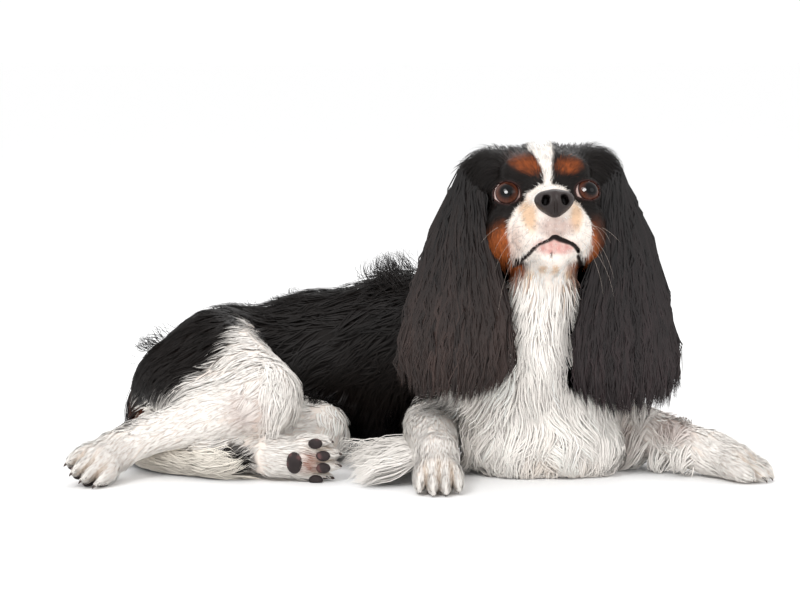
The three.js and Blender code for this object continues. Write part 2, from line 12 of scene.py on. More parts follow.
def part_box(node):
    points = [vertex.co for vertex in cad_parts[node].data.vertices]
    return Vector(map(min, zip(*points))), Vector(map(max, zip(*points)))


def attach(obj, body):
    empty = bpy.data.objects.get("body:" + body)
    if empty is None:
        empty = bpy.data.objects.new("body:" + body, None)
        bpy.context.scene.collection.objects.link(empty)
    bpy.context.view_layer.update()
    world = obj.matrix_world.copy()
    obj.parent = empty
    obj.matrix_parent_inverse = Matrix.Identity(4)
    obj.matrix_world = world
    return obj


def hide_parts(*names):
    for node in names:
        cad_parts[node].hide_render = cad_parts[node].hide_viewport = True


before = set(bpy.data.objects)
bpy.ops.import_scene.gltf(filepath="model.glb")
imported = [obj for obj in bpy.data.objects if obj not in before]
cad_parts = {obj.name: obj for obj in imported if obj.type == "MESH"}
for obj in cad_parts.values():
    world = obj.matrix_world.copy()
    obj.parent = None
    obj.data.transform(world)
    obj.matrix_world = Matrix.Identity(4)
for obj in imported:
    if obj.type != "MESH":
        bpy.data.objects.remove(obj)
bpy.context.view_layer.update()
print("frame loaded")

# the head's frame: x to the dog's left, y from nose to nape, z up, origin between the eyes
headPlace = {"eyeLine": (109, -15, 217), "pitch": -19, "yaw": 2, "roll": -1.5, "spread": 28.5, "back": 7}
headTurn = np.array(Matrix.Rotation(math.radians(headPlace["yaw"]), 3, "Z")
                    @ Matrix.Rotation(math.radians(headPlace["pitch"]), 3, "X")
                    @ Matrix.Rotation(math.radians(headPlace["roll"]), 3, "Y"))
eyeLine = np.array(headPlace["eyeLine"], float)
sides = {"right": -1, "left": 1}


def inHead(points):
    return np.asarray(points, float) @ headTurn.T + eyeLine


def toHead(points):
    return (points - eyeLine) @ headTurn


eyeAt = {side: inHead((headPlace["spread"] * s, headPlace["back"], 0)) for side, s in sides.items()}
offset = np.array(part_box("eye_right")).mean(0) * 1000 - eyeAt["right"]


def toFrame(points):
    return (np.asarray(points) + offset) / 1000


def norm(v):
    return np.linalg.norm(v, axis=-1)


def unit(v):
    return v / (norm(v)[..., None] + 1e-9)


def turnTo(ahead, top):  # columns that point across, up and ahead
    across = unit(np.cross(ahead, top))
    return np.stack([across, np.cross(across, ahead), ahead], 1)


def smooth(low, high, x):
    t = np.clip((x - low) / (high - low), 0, 1)
    return t * t * (3 - 2 * t)


# distance fields: each shape is a function of many points, negative inside
def egg(centre, radii):
    centre, radii = np.array(centre, float), np.array(radii, float)

    def field(p):
        q = (p - centre) / radii
        near = norm(q) + 1e-9
        return near * (near - 1) / (norm(q / radii) + 1e-9)
    return field


def taper(start, end, startRadius, endRadius):
    start, end = np.array(start, float), np.array(end, float)
    along = end - start

    def field(p):
        t = np.clip((p - start) @ along / (along @ along), 0, 1)
        return norm(p - start - t[:, None] * along) - startRadius - (endRadius - startRadius) * t
    return field


def strandDistance(p, path, radii):  # distance to a bent rod
    radii = np.broadcast_to(radii, len(path))
    rods = [taper(*rod)(p) for rod in zip(path[:-1], path[1:], radii[:-1], radii[1:])]
    return np.minimum.reduce(rods)


def softMin(a, b, softness):
    return np.minimum(a, b) - np.maximum(softness - np.abs(a - b), 0) ** 2 / (4 * softness)


def softMax(a, b, softness):
    return -softMin(-a, -b, softness)


def melt(softness, *shapes):
    def field(p):
        value = shapes[0](p)
        for shape in shapes[1:]:
            value = softMin(value, shape(p), softness)
        return value
    return field


# joints of the skeleton, as it lies
joint = {
    "hipRight": (-146, 100, 80), "rumpRight": (-178, 100, 60), "kneeRight": (-104, 12, 58),
    "calfRight": (-147.2, 6.6, 44.95), "hockRight": (-200, 0, 29), "footRight": (-214, -12, 22),
    "hipLeft": (-140, 110, 32), "kneeLeft": (-64, 66, 24), "hockLeft": (-142, 4, 17),
    "footLeft": (-94, -8, 17), "elbowRight": (24, 50, 31), "wristRight": (27, -34, 22),
    "elbowLeft": (162, 70, 34), "wristLeft": (236, 6, 18), "neckBase": (94, 66, 128), "nape": (104, 40, 186),
}
joint = {name: np.array(p, float) for name, p in joint.items()}
tailPath = np.array([(-200, 112, 34), (-214, 74, 16), (-200, 36, 14), (-168, 14, 13), (-132, -2, 13)], float)

# the head: the skin lies furDepth under the hair, and less so on the crown
faceShape = {"furDepth": 2.2, "crown": 1.3, "lid": 1.3, "eyeRadius": 11.0,
             "opening": {"right": (9.8, 8.3), "left": (9.3, 7.3)}}
gaze = {side: unit(headTurn @ np.array((0.24 * s, -1, 0.02))) for side, s in sides.items()}
headParts = [
    egg((0, 44, 8), (44, 54, 40)),  # skull
    taper((0, -2, -6), (0, -30, -14), 13, 11),  # bridge of the nose
    taper((0, 8, -26), (0, -28, -27), 26, 18),  # muzzle
    taper((0, 30, -40), (0, -18, -52), 22, 13),  # lower jaw
]
for s in sides.values():
    headParts += [
        egg((19 * s, 6, 17), (16, 14, 12)),  # brow
        egg((36 * s, 38, 24), (24, 24, 21)),  # base of the ear
        egg((28 * s, 10, -17), (14, 13, 10)),  # cheekbone
        egg((25 * s, 28, -24), (22, 32, 28)),  # cheek
        egg((14.5 * s, -17, -35), (16.5, 25, 19)),  # flews
    ]
headMass = melt(9, *headParts)
seenAhead, seenUp = np.array((0, 0.9945, -0.1045)), np.array((0, 0.1045, 0.9945))  # the face from in front


def surfaceAt(across, up):  # the point of the face's skin this far aside of the eyes' middle and above it
    place = eyeLine + np.array((across, 0, 0)) + up * seenUp - 110 * seenAhead
    for _ in range(60):
        place = place + seenAhead * max(headMass(toHead(place[None]))[0] + faceShape["furDepth"], 0.02) * 0.9
    return place


mouthLine = [  # across, up, and half the width of the line and of the bare lip
    (-33, -54.5, 1.3, 3.4), (-24.6, -53.3, 1.2, 3.0), (-17, -48.6, 1.0, 1.5), (-10.5, -40.5, 0.8, 0.9),
    (-1, -36.4, 1.0, 1.0), (2.6, -34, 1.8, 2.0), (7, -36, 1.8, 2.0), (16.7, -39.5, 1.2, 1.3),
    (22.3, -45.8, 1.0, 1.5), (27, -53.3, 1.2, 3.0), (31, -56, 1.3, 3.2),
]
steps = np.linspace(0, len(mouthLine) - 1, 26)
columns = [np.interp(steps, range(len(mouthLine)), column) for column in zip(*mouthLine)]
mouthPath = np.array([surfaceAt(*place) for place in zip(*columns[:2])])
mouthRadii, lipRadii = columns[2:]


def openingOf(p, side):  # distance to the opening between the lids
    x, y, ahead = ((p - eyeAt[side]) @ turnTo(gaze[side], (0, 0, 1))).T
    wide, high = faceShape["opening"][side]
    return (np.hypot(x / wide, y / high) - 1) * high + np.maximum(-ahead, 0)


def headField(p):
    q = toHead(p)
    value = headMass(q) + faceShape["furDepth"] - faceShape["crown"] * smooth(18, 34, q[:, 2])
    for side in sides:
        ball = norm(p - eyeAt[side]) - faceShape["eyeRadius"]
        value = softMin(value, ball - faceShape["lid"], 3)
        near = ball < 14
        value[near] = softMax(value[near], -openingOf(p[near], side), 1.2)
    near = norm(p - mouthPath[12]) < 46
    value[near] = softMax(value[near], -strandDistance(p[near], mouthPath, mouthRadii), 1.5)
    return value


# the paws, each in a frame of its own: across, ahead and up
pawShape = {  # joint, way ahead, way up, length, and how far past the toes the claws start
    "forepawRight": ("wristRight", (0.03, -0.95, -0.3), (0, 0, 1), 1.15, 3.5),
    "forepawLeft": ("wristLeft", (0.8, -0.58, -0.2), (0, 0, 1), 1.15, 4.5),
    "hindpawRight": ("footRight", (-0.5, -0.84, -0.2), (0.55, 0, 0.83), 0.95, 6),
    "hindpawLeft": ("footLeft", (0.98, -0.08, 0), (-0.08, 0.98, 0.1), 1.1, 5.5),
}
paws = {}
for name, (at, ahead, top, long, claw) in pawShape.items():
    turn = turnTo(unit(np.array(ahead, float)), top)[:, (0, 2, 1)]
    paws[name] = {"at": joint[at], "turn": turn, "long": long, "claw": claw}
toeSpread = 9.4
toes = [-1.5, -0.5, 0.5, 1.5]


def toeReach(toe):
    return 34 - 2.6 * toe * toe


def inPaw(paw, p):
    return (p - paw["at"]) @ paw["turn"]


def pawField(paw):
    long = paw["long"]
    shapes = melt(3.2, taper((0, 0, 0), (0, 16 * long, -1), 17, 16), egg((0, 20 * long, -2), (20, 16, 15)),
                  *[egg((toe * toeSpread, toeReach(toe) * long, -3), (6, 14, 10)) for toe in toes])
    return lambda p: shapes(inPaw(paw, p))


def limb(softness, *bones):  # each bone: its two joints and their radii
    return melt(softness, *[taper(joint[a], joint[b], *radii) for a, b, *radii in bones])


# the body, each part lying inside its solid by the depth of its coat
bodyParts = {  # name: field and depth of coat
    "torso": (melt(26, egg((96, 56, 72), (62, 62, 68)), egg((62, 96, 82), (60, 56, 70)),
                   egg((6, 126, 78), (68, 56, 70)), egg((-66, 136, 70), (66, 52, 62)),
                   egg((-136, 124, 60), (58, 54, 58)), egg((-184, 114, 42), (36, 38, 36))), 6),
    "chest": (melt(16, egg((96, 56, 72), (60, 62, 66)), egg((110, 16, 60), (56, 27, 62)),
                   egg((112, 12, 20), (60, 26, 28))), 7),
    "neck": (melt(20, taper(joint["nape"], joint["neckBase"], 40, 54),
                  taper(inHead((0, 26, -46)), (100, 18, 96), 26, 44)), 6),
    "head": (headField, 0),
    "thighRight": (limb(18, ("hipRight", "kneeRight", 40, 30), ("rumpRight", "calfRight", 34, 22)), 4),
    "shinRight": (limb(10, ("kneeRight", "hockRight", 29, 15), ("hockRight", "footRight", 16, 13)), 3.5),
    "thighLeft": (limb(1, ("hipLeft", "kneeLeft", 36, 26)), 4),
    "shinLeft": (limb(8, ("kneeLeft", "hockLeft", 24, 14), ("hockLeft", "footLeft", 15, 14)), 3),
    "forelegRight": (limb(1, ("elbowRight", "wristRight", 25, 18)), 4),
    "forelegLeft": (limb(1, ("elbowLeft", "wristLeft", 25, 18)), 4),
    **{name: (pawField(paw), 3) for name, paw in paws.items()},
    "tail": (melt(4, *[taper(a, b, 9, 8) for a, b in zip(tailPath[:-1], tailPath[1:])]), 3),
}


def nodeName(name):
    return name.replace("Right", "_right").replace("Left", "_left")


partNames = list(bodyParts)
partBoxes = {}  # the box of each part's node, with some room
for name in partNames:
    low, high = np.array(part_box(nodeName(name))) * 1000 - offset
    room = 18 if name == "head" else 30
    partBoxes[name] = (low - room, high + room)


def partValues(p):
    values = np.full((len(partNames), len(p)), 80.0)
    for i, name in enumerate(partNames):
        low, high = partBoxes[name]
        near = ((p > low) & (p < high)).all(1)
        if near.any():
            field, depth = bodyParts[name]
            values[i, near] = field(p[near]) + depth
    return values


def skinField(p):
    values = partValues(p)
    value = values[0]
    for other in values[1:]:
        value = softMin(value, other, 9)
    return softMax(value, 2.5 - p[:, 2], 3)  # pressed flat on the floor


def slopeOf(field, p, step=0.4):
    ways = np.array([(1, 1, 1), (1, -1, -1), (-1, 1, -1), (-1, -1, 1)], float)
    return unit(sum(way * field(p + step * way)[:, None] for way in ways))


def labelOf(p):
    values = partValues(p)
    values[partNames.index("head")] -= 4  # the head keeps its chin and cheeks where the throat meets them
    return np.argmin(values, 0)


# a net of quads over a field, each vertex pulled onto the surface
def netOf(field, low, high, step, pulls=3):
    low, high = np.array(low, float), np.array(high, float)
    count = np.ceil((high - low) / step).astype(int) + 1
    axes = [low[i] + step * np.arange(count[i]) for i in range(3)]
    inside = np.zeros(count, bool)
    for i, x in enumerate(axes[0]):
        grid = np.stack(np.meshgrid([x], axes[1], axes[2], indexing="ij"), -1).reshape(-1, 3)
        inside[i] = field(grid).reshape(count[1:]) < 0
    parts = [inside[a:count[0] - 1 + a, b:count[1] - 1 + b, c:count[2] - 1 + c]
             for a in (0, 1) for b in (0, 1) for c in (0, 1)]
    mixed = np.any(parts, 0) & ~np.all(parts, 0)
    number = np.full(mixed.shape, -1)
    number[mixed] = np.arange(mixed.sum())
    points = low + step * (np.argwhere(mixed) + 0.5)
    for _ in range(pulls):
        slope = slopeOf(field, points)
        points = points - slope * np.clip(field(points), -step, step)[:, None]
    faces = []
    for axis, (a, b) in enumerate([(1, 2), (2, 0), (0, 1)]):
        here = np.take(inside, range(count[axis] - 1), axis)
        there = np.take(inside, range(1, count[axis]), axis)
        edges = np.argwhere(here != there)
        inner = [(edges[:, k] > 0) & (edges[:, k] < count[k] - 1) for k in (a, b)]
        edges = edges[inner[0] & inner[1]]
        corners = []
        for da, db in [(-1, -1), (0, -1), (0, 0), (-1, 0)]:
            cell = edges.copy()
            cell[:, a] += da
            cell[:, b] += db
            corners.append(number[tuple(cell.T)])
        quads = np.stack(corners, 1)
        outward = here[tuple(edges.T)]
        quads[~outward] = quads[~outward][:, ::-1]
        faces.append(quads)
    return points, np.concatenate(faces)


def ringFaces(rows, around):  # quads between closed rings of points
    index = np.arange(rows * around).reshape(rows, around)
    turned = np.roll(index, -1, 1)
    return np.stack([index[:-1], turned[:-1], turned[1:], index[1:]], -1).reshape(-1, 4)


def newMesh(name, points, faces, material, colours=None):
    mesh = bpy.data.meshes.new(name)
    mesh.vertices.add(len(points))
    mesh.vertices.foreach_set("co", toFrame(np.maximum(points, (-1e3, -1e3, 0.3))).astype(np.float32).ravel())
    mesh.loops.add(faces.size)
    mesh.loops.foreach_set("vertex_index", faces.astype(np.int32).ravel())
    mesh.polygons.add(len(faces))
    mesh.polygons.foreach_set("loop_start", np.arange(0, faces.size, faces.shape[1], dtype=np.int32))
    mesh.polygons.foreach_set("use_smooth", np.ones(len(faces), bool))
    mesh.update(calc_edges=True)
    mesh.materials.append(material)
    piece = bpy.data.objects.new(name, mesh)
    bpy.context.collection.objects.link(piece)
    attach(piece, "root")
    if colours is not None:
        paint(piece, colours)
    return piece


def paint(piece, colours):
    layer = piece.data.color_attributes.new("coat", "FLOAT_COLOR", "POINT")
    rgba = np.ones((len(colours), 4), np.float32)
    rgba[:, :3] = colours
    layer.data.foreach_set("color", rgba.ravel())


def pointsOf(mesh):
    flat = np.empty(len(mesh.vertices) * 3, np.float32)
    mesh.vertices.foreach_get("co", flat)
    return flat.reshape(-1, 3).astype(float) * 1000 - offset


# markings, as functions of the place on the dog
def tone(red, green, blue):
    c = np.array((red, green, blue)) / 255
    return np.where(c < 0.04, c / 12.92, ((c + 0.055) / 1.055) ** 2.4)


palette = {
    "black": tone(18, 13, 11), "white": tone(254, 248, 241), "cream": tone(247, 239, 226),
    "brow": tone(146, 74, 33), "tan": tone(170, 90, 42), "darkTan": tone(92, 50, 31),
    "paleTan": tone(226, 186, 144), "pink": tone(214, 152, 146), "greyPink": tone(176, 146, 138),
    "lip": tone(34, 25, 24), "rim": tone(60, 38, 36), "stain": tone(158, 96, 74),
    # the first colour here is a darker cream, painted shade for the hollows between the toes and low on the
    # chest
    "hollowShade": tone(214, 190, 166), "horn": tone(58, 42, 36), "floor": (0.96, 0.96, 0.96),
}
facePatches = {  # colour, plain and streaky amount, then place across and up, half sizes, turn and softness
    "brows": [("brow", 0, 1, -15.6, 20.6, 10.6, 6.2, -0.25, 0.45),
              ("brow", 0, 1, 16, 19.4, 9.6, 5.6, 0.05, 0.45)],
    "cheeks": [("darkTan", 1, 0, -34, -52, 12, 25, 0.1), ("tan", 0, 1, -33, -43, 10, 18, 0.1, 0.4),
               ("darkTan", 0.9, 0, 37, -46, 10, 24, 0.05, 0.4), ("tan", 0, 1, 34, -44, 5, 17, 0.05, 0.5)],
    "muzzle": [("tan", 0.35, 0, -25.5, -38, 5, 12, 0.1, 0.8),
               ("paleTan", 0.8, 0, -15.5, -19, 5, 12, 0.1, 0.5),
               ("paleTan", 0.8, 0, 18.5, -19, 5, 11, -0.1, 0.5),
               ("greyPink", 0.45, 0.3, 3.5, -27.5, 13, 8, 0, 0.45),
               ("pink", 0.3, 0.6, 3.5, -41.5, 15, 5.2, 0, 0.4),
               ("tan", 0.75, 0, -24, -59, 9, 4.5, 0.1, 0.5),
               ("tan", 0.75, 0, 22, -58, 8, 6, 0.1, 0.5),
               ("paleTan", 0.7, 0, -4.7, -57.6, 2.6, 2.6, 0, 0.5),
               ("paleTan", 0.7, 0, 4.4, -58.3, 2.8, 2.8, 0, 0.5),
               ("paleTan", 0.7, 0, -13, -63, 3.5, 3.5, 0, 0.5),
               ("paleTan", 0.7, 0, 15, -62, 3, 3, 0, 0.5),
               ("lip", 0.8, 0, 0.8, -46.7, 1, 2)],
    "corners": [("lip", 0.95, 0, -25, -52.6, 8, 3, 0.15, 0.4), ("lip", 0.85, 0, 26.4, -53, 4.5, 4, 0, 0.4)],
}
spots = [  # part, place across and up, size, colour and how much of it
    ("forelegLeft", (206, 34), (14, 8), "greyPink", 0.6),
    ("forelegLeft", (170, 22), (14, 12), "greyPink", 0.8),
    ("shinRight", (-114, 52), (16, 16), "greyPink", 0.45),
    ("thighRight", (-112, 50), (14, 14), "greyPink", 0.4),
    # painted shade low on the chest, in the darker cream
    ("chest", (118, 26), (22, 9), "hollowShade", 0.5),
]


def wobble(p, size=9.0, seed=0.0):
    x, y, z = (p / size + seed).T
    return (np.sin(x * 1.7 + 2 * np.sin(y)) + np.sin(y * 2.1 + 1.5 * np.sin(z + 1))
            + np.sin(z * 1.9 + 1.3 * np.sin(x + 2))) / 3


def lay(colours, name, mask):
    return colours * (1 - mask[:, None]) + palette[name] * mask[:, None]


def patch(x, y, cx, cy, rx, ry, turn=0.0, soft=0.25):
    c, s = math.cos(turn), math.sin(turn)
    u, v = (x - cx) * c + (y - cy) * s, -(x - cx) * s + (y - cy) * c
    return 1 - smooth(1 - soft, 1 + soft, np.hypot(u / rx, v / ry))


def faceColours(p):
    x = p[:, 0] - eyeLine[0] + 0.8 * wobble(p, 5)
    depth = p[:, 1] - eyeLine[1]
    up = (p - eyeLine) @ seenUp + 0.8 * wobble(p, 4, 3)
    streak = 0.72 + 0.28 * np.clip(wobble(p, 1.6, 4) * 2, -1, 1)

    def layPatches(colours, group, mask=1):
        for name, plain, streaky, *place in facePatches[group]:
            colours = lay(colours, name, (plain + streaky * streak) * patch(x, up, *place) * mask)
        return colours

    # the blaze, whose middle and half width change on the way up
    middle = np.interp(up, (6, 16, 25, 33, 45), (0, -0.6, -1.8, -4, -4))
    half = np.interp(up, (0, 6.5, 16, 25, 33, 45), (7, 2.6, 3.6, 5.4, 9, 10))
    half = half * (1 - 0.55 * smooth(20, 60, depth))
    blaze = 1 - smooth(-1.2, 1.2, np.abs(x - middle) - half)
    blaze = blaze * smooth(-3, 1, up) * (1 - smooth(64, 74, depth))
    # the white muzzle between its edges, with the chin
    left = np.interp(up, (-52, -46, -35, -23, -10, -2, 3, 6), (-22, -26.5, -29.5, -29.5, -21.7, -16, -10, -4))
    right = np.interp(up, (-53, -49, -38, -23, -8, -2, 3, 6), (23, 28.5, 32.5, 31.5, 23, 17, 12, 5))
    muzzle = smooth(-1.2, 1.2, x - left) * smooth(-1.2, 1.2, right - x) * (1 - smooth(3.5, 6, up))
    muzzle = muzzle * smooth(-54, -50, up) * (1 - smooth(20, 30, depth))
    under = smooth(-62, -68, up) * (1 - smooth(24, 32, np.abs(x)))
    white = np.maximum.reduce([muzzle, patch(x, up, 1, -60, 17.5, 12, 0, 0.15), under, blaze])

    colours = np.tile(palette["black"], (len(p), 1))
    colours = layPatches(colours, "brows", 1 - smooth(28, 44, depth))
    colours = layPatches(colours, "cheeks", 1 - smooth(40, 54, depth))
    colours = lay(colours, "white", white)
    colours = layPatches(colours, "muzzle")
    colours = lay(colours, "lip", 1 - smooth(-0.1, 1.1, strandDistance(p, mouthPath, mouthRadii)))
    colours = lay(colours, "lip", 1 - smooth(-0.6, 0.8, strandDistance(p, mouthPath, lipRadii)))
    colours = layPatches(colours, "corners")
    for side in sides:
        lids = openingOf(p, side)
        near = norm(p - eyeAt[side]) < 17
        colours = lay(colours, "rim", near * (1 - smooth(0.2, 1.6, lids)))
        colours = lay(colours, "black", near * smooth(1, 2, lids) * (1 - smooth(3, 5, lids)))
    return lay(colours, "black", smooth(56, 68, depth) * (1 - blaze))


def coatColours(p, labels):
    colours = np.tile(palette["white"], (len(p), 1))
    x, y, z = p.T
    ragged = 5 * wobble(p, 12)
    names = np.array(partNames)[labels]
    isHead = (names == "head") | ((names == "neck") & (z > eyeLine[2] - 65) & (y < 30))  # with the jaw's edge
    if isHead.any():
        colours[isHead] = faceColours(p[isHead])
    black = np.zeros(len(p))
    torso = names == "torso"
    black[torso] = 1 - smooth(30, 38, (x + ragged)[torso]) * (1 - smooth(60, 70, (y + ragged)[torso]))
    for here, edge in ((names == "chest", 66), ((names == "neck") & ~isHead, 54)):
        black[here] = smooth(edge - 4, edge + 4, (y + ragged)[here])
    thigh = np.isin(names, ("thighRight", "shinRight"))
    boundary = np.interp(x, (-219, -206, -187, -172, -157, -139, -124, -116, -90, -70),
                         (36, 39, 49, 58, 70, 88, 108, 110, 104, 96))
    black[thigh] = smooth(-4, 4, (z - boundary + ragged)[thigh])
    colours = lay(colours, "black", black)
    colours = lay(colours, "black", (names == "shinLeft") * patch(x, z, -127, 13, 19, 15))  # the hock
    colours = lay(colours, "darkTan", (torso & (x < -190)) * 0.8 * patch(x, z, -214, 32, 16, 12))  # the rump
    colours[names == "tail"] = palette["cream"]
    for name, middle, size, colour, amount in spots:
        colours = lay(colours, colour, (names == name) * amount * patch(x, z, *middle, *size, 0, 0.6))
    for name, paw in paws.items():  # painted shade in the hollows between the toes, stained fur under the hind feet
        here = names == name
        across, ahead, above = inPaw(paw, p[here]).T
        gaps = [1 - smooth(0.4, 2.6, np.abs(across - gap * toeSpread)) for gap in (-1, 0, 1)]
        hollowShade = np.maximum.reduce(gaps)
        colours[here] = lay(colours[here], "hollowShade", 0.75 * hollowShade * smooth(20, 30, ahead))
        if name.startswith("hind"):
            under = 0.9 * smooth(-6, -12, above) * patch(across, ahead, 0, 26, 9, 7)
            colours[here] = lay(colours[here], "stain", under)
    return colours


def shaderOf(name, roughness, shine, colour="coat", bump=None):  # the colour is the mesh's or the palette's
    material = bpy.data.materials.new(name)
    material.use_nodes = True
    nodes, links = material.node_tree.nodes, material.node_tree.links
    shader = nodes["Principled BSDF"]
    shader.inputs["Roughness"].default_value = roughness
    shader.inputs["Specular IOR Level"].default_value = shine
    if colour in palette:
        shader.inputs["Base Color"].default_value = (*palette[colour], 1)
    else:
        reader = nodes.new("ShaderNodeAttribute")
        reader.attribute_name = colour
        links.new(reader.outputs["Color"], shader.inputs["Base Color"])
    if bump:
        kind, strength, distance, settings = bump
        where, pattern, relief = nodes.new("ShaderNodeTexCoord"), nodes.new(kind), nodes.new("ShaderNodeBump")
        for key, value in settings.items():
            pattern.inputs[key].default_value = value
        relief.inputs["Strength"].default_value = strength
        relief.inputs["Distance"].default_value = distance
        links.new(where.outputs["Object"], pattern.inputs["Vector"])
        links.new(pattern.outputs[0], relief.inputs["Height"])
        links.new(relief.outputs["Normal"], shader.inputs["Normal"])
    return material


hairMaterial = shaderOf("silky hair", 0.42, 0.18)
earHairMaterial = shaderOf("glossy ear hair", 0.3, 0.34)
skinMaterial = shaderOf("short fur and skin", 0.62, 0.18,
                        bump=("ShaderNodeTexNoise", 0.5, 0.0004, {"Scale": 900, "Detail": 3}))
noseMaterial = shaderOf("nose leather", 0.4, 0.32,
                        bump=("ShaderNodeTexVoronoi", 0.35, 0.0003, {"Scale": 1300}))
padMaterial = shaderOf("pad leather", 0.7, 0.3,
                       bump=("ShaderNodeTexVoronoi", 0.6, 0.0004, {"Scale": 1500}))
eyeMaterial = shaderOf("wet eye", 0.02, 0.2)
clawMaterial = shaderOf("claw horn", 0.35, 0.5, "horn")

# the skin: one net over the whole body, made finer on the face and finest round eyes and mouth
skinShape = {"step": 3.0, "under": -4.5, "spare": 20, "bare": (0.93, 0.88, 0.85),
             "fine": 62, "eyes": 15, "mouth": 6}
low = np.min([box[0] for box in partBoxes.values()], 0) + skinShape["spare"]
high = np.max([box[1] for box in partBoxes.values()], 0) - skinShape["spare"]
points, quads = netOf(skinField, (*low[:2], skinShape["under"]), high, skinShape["step"])
skin = newMesh("skin", points, quads, skinMaterial)
print("skin net", len(quads))


def refine(piece, chosen):
    mesh = piece.data
    bm = bmesh.new()
    bm.from_mesh(mesh)
    keep = [edge for edge in bm.edges if chosen[edge.verts[0].index] and chosen[edge.verts[1].index]]
    bmesh.ops.subdivide_edges(bm, edges=keep, cuts=1, use_grid_fill=True)
    bm.to_mesh(mesh)
    bm.free()
    points = pointsOf(mesh)
    near = norm(points - inHead((0, 20, -10))) < 90
    moved = points[near]
    for _ in range(3):
        moved = moved - slopeOf(skinField, moved, 0.25) * np.clip(skinField(moved), -1.5, 1.5)[:, None]
    points[near] = moved
    mesh.vertices.foreach_set("co", toFrame(points).astype(np.float32).ravel())
    mesh.update()


points = pointsOf(skin.data)
refine(skin, norm(points - inHead((0, 8, -14))) < skinShape["fine"])
points = pointsOf(skin.data)
chosen = strandDistance(points, mouthPath, skinShape["mouth"]) < 0
for side in sides:
    chosen |= norm(points - eyeAt[side] - 6 * gaze[side]) < skinShape["eyes"]
refine(skin, chosen)
skinPoints = pointsOf(skin.data)
skinLabels = labelOf(skinPoints)
paint(skin, coatColours(skinPoints, skinLabels) * skinShape["bare"])
skin.data.polygons.foreach_set("use_smooth", np.ones(len(skin.data.polygons), bool))
replaced = [nodeName(name) for name in partNames]
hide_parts(*replaced)
print("skin done", len(skin.data.polygons))

# the eyes: iris, white and red rim are rings of colour, by their distance from the middle
eyeShape = {
    "radius": 11.0, "iris": 8.9, "pupil": 4.5, "bulge": 0.8, "rings": 72, "around": 96,
    "look": {"right": (0.04, 0, 0.05), "left": (0.16, 0, 0.08)},
    "colours": {"iris": tone(78, 42, 29), "white": tone(206, 180, 174), "red": tone(120, 70, 64),
                "pupil": tone(10, 9, 12)},
}
for side in sides:
    turned = turnTo(unit(gaze[side] + np.array(eyeShape["look"][side])), (0, 0, 1))
    tilt, turn = np.meshgrid(np.linspace(0, math.pi, eyeShape["rings"]),
                             np.linspace(0, 2 * math.pi, eyeShape["around"], endpoint=False), indexing="ij")
    front = tilt < math.pi / 2
    aside = np.sin(tilt) * eyeShape["radius"]
    bulge = eyeShape["bulge"] * (1 - smooth(0.2, 1, aside / 8.5)) * front
    local = np.stack([np.sin(tilt) * np.cos(turn), np.sin(tilt) * np.sin(turn), np.cos(tilt)], -1)
    local = local * (eyeShape["radius"] + bulge)[..., None]
    points = eyeAt[side] + local.reshape(-1, 3) @ turned.T
    reach, turn = np.where(front, aside, 99).reshape(-1, 1), turn.reshape(-1, 1)
    inks = eyeShape["colours"]
    spokes = np.sin(turn * 23) * 0.5 + np.sin(turn * 57 + 1) * 0.5
    colours = inks["iris"] * (1 + 0.22 * spokes * smooth(4.5, 6.5, reach))
    colours = colours * (0.28 + 0.85 * smooth(4.6, 8, reach)) * (1 - 0.85 * smooth(7.5, 8.7, reach))
    edge = smooth(eyeShape["iris"] - 0.15, eyeShape["iris"] + 0.15, reach)
    colours = colours * (1 - edge) + inks["white"] * edge
    red = smooth(10.0, 10.8, reach)
    colours = colours * (1 - red) + inks["red"] * red
    colours = colours * smooth(eyeShape["pupil"] - 0.3, eyeShape["pupil"] + 0.5, reach) + inks["pupil"] * 0.4
    quads = ringFaces(*tilt.shape)[:, (0, 3, 2, 1)]
    eye = newMesh(f"globe_{side}", points, quads, eyeMaterial, np.clip(colours, 0, 1))
    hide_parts(f"eye_{side}")
print("eyes done")

# the nose, with its nostrils, their slits and the groove below
noseShape = {
    "centre": (0, -45, -21), "reach": 19, "step": 0.6, "groove": 1.1,
    # the leather is painted lighter at the top as a painted highlight and darker below as painted shade
    "low": tone(34, 25, 23), "high": tone(50, 41, 40),
    "cuts": [  # from, to and their radii, on the dog's left, mirrored for its right
        ((6.4, -58, -18.0), (6.6, -46, -19.0), 2.7, 2.3),
        ((7.4, -57, -21.6), (7.0, -46, -21.0), 3.1, 2.3),
        ((8.2, -54, -23.6), (12.0, -51.2, -24.6), 2.0, 1.5),
        ((12.0, -51.2, -24.6), (15.2, -47.2, -22.0), 1.5, 1.0),
    ],
}
noseGroove = [(0, -53.4, -13), (0, -54.4, -20), (0, -52.6, -26), (0, -48.5, -31)]
noseMass = melt(3, egg(noseShape["centre"], (11, 9, 10.5)),
                *[egg((7.5 * s, -44, -20), (7.5, 8, 8)) for s in sides.values()])


def nostrils(q):
    value = np.full(len(q), 50.0)
    for s in sides.values():
        for start, end, *radii in noseShape["cuts"]:
            value = softMin(value, taper((start[0] * s, *start[1:]), (end[0] * s, *end[1:]), *radii)(q), 1.2)
    return value


def noseField(p):
    q = toHead(p)
    narrowing = (np.abs(q[:, 0]) - 14.2) * 0.74 - (q[:, 2] + 21.5) * 0.67
    value = softMax(softMax(noseMass(q), narrowing, 4), -nostrils(q), 1.4)
    return softMax(value, -strandDistance(q, noseGroove, noseShape["groove"]), 1.4)


middle = inHead(noseShape["centre"])
points, quads = netOf(noseField, middle - noseShape["reach"], middle + noseShape["reach"], noseShape["step"])
q = toHead(points)
# painted highlight on the top of the leather, painted shade lower down
highlightTowardsTop = smooth(-26, -14, q[:, 2:])
colours = noseShape["low"] * (1 - highlightTowardsTop) + noseShape["high"] * highlightTowardsTop
colours = colours * (1 - 0.85 * smooth(1.2, -0.6, nostrils(q)))[:, None]  # painted shade in the nostrils
nose = newMesh("nose_leather", points, quads, noseMaterial, colours)
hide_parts("nose")
print("nose done", len(quads))


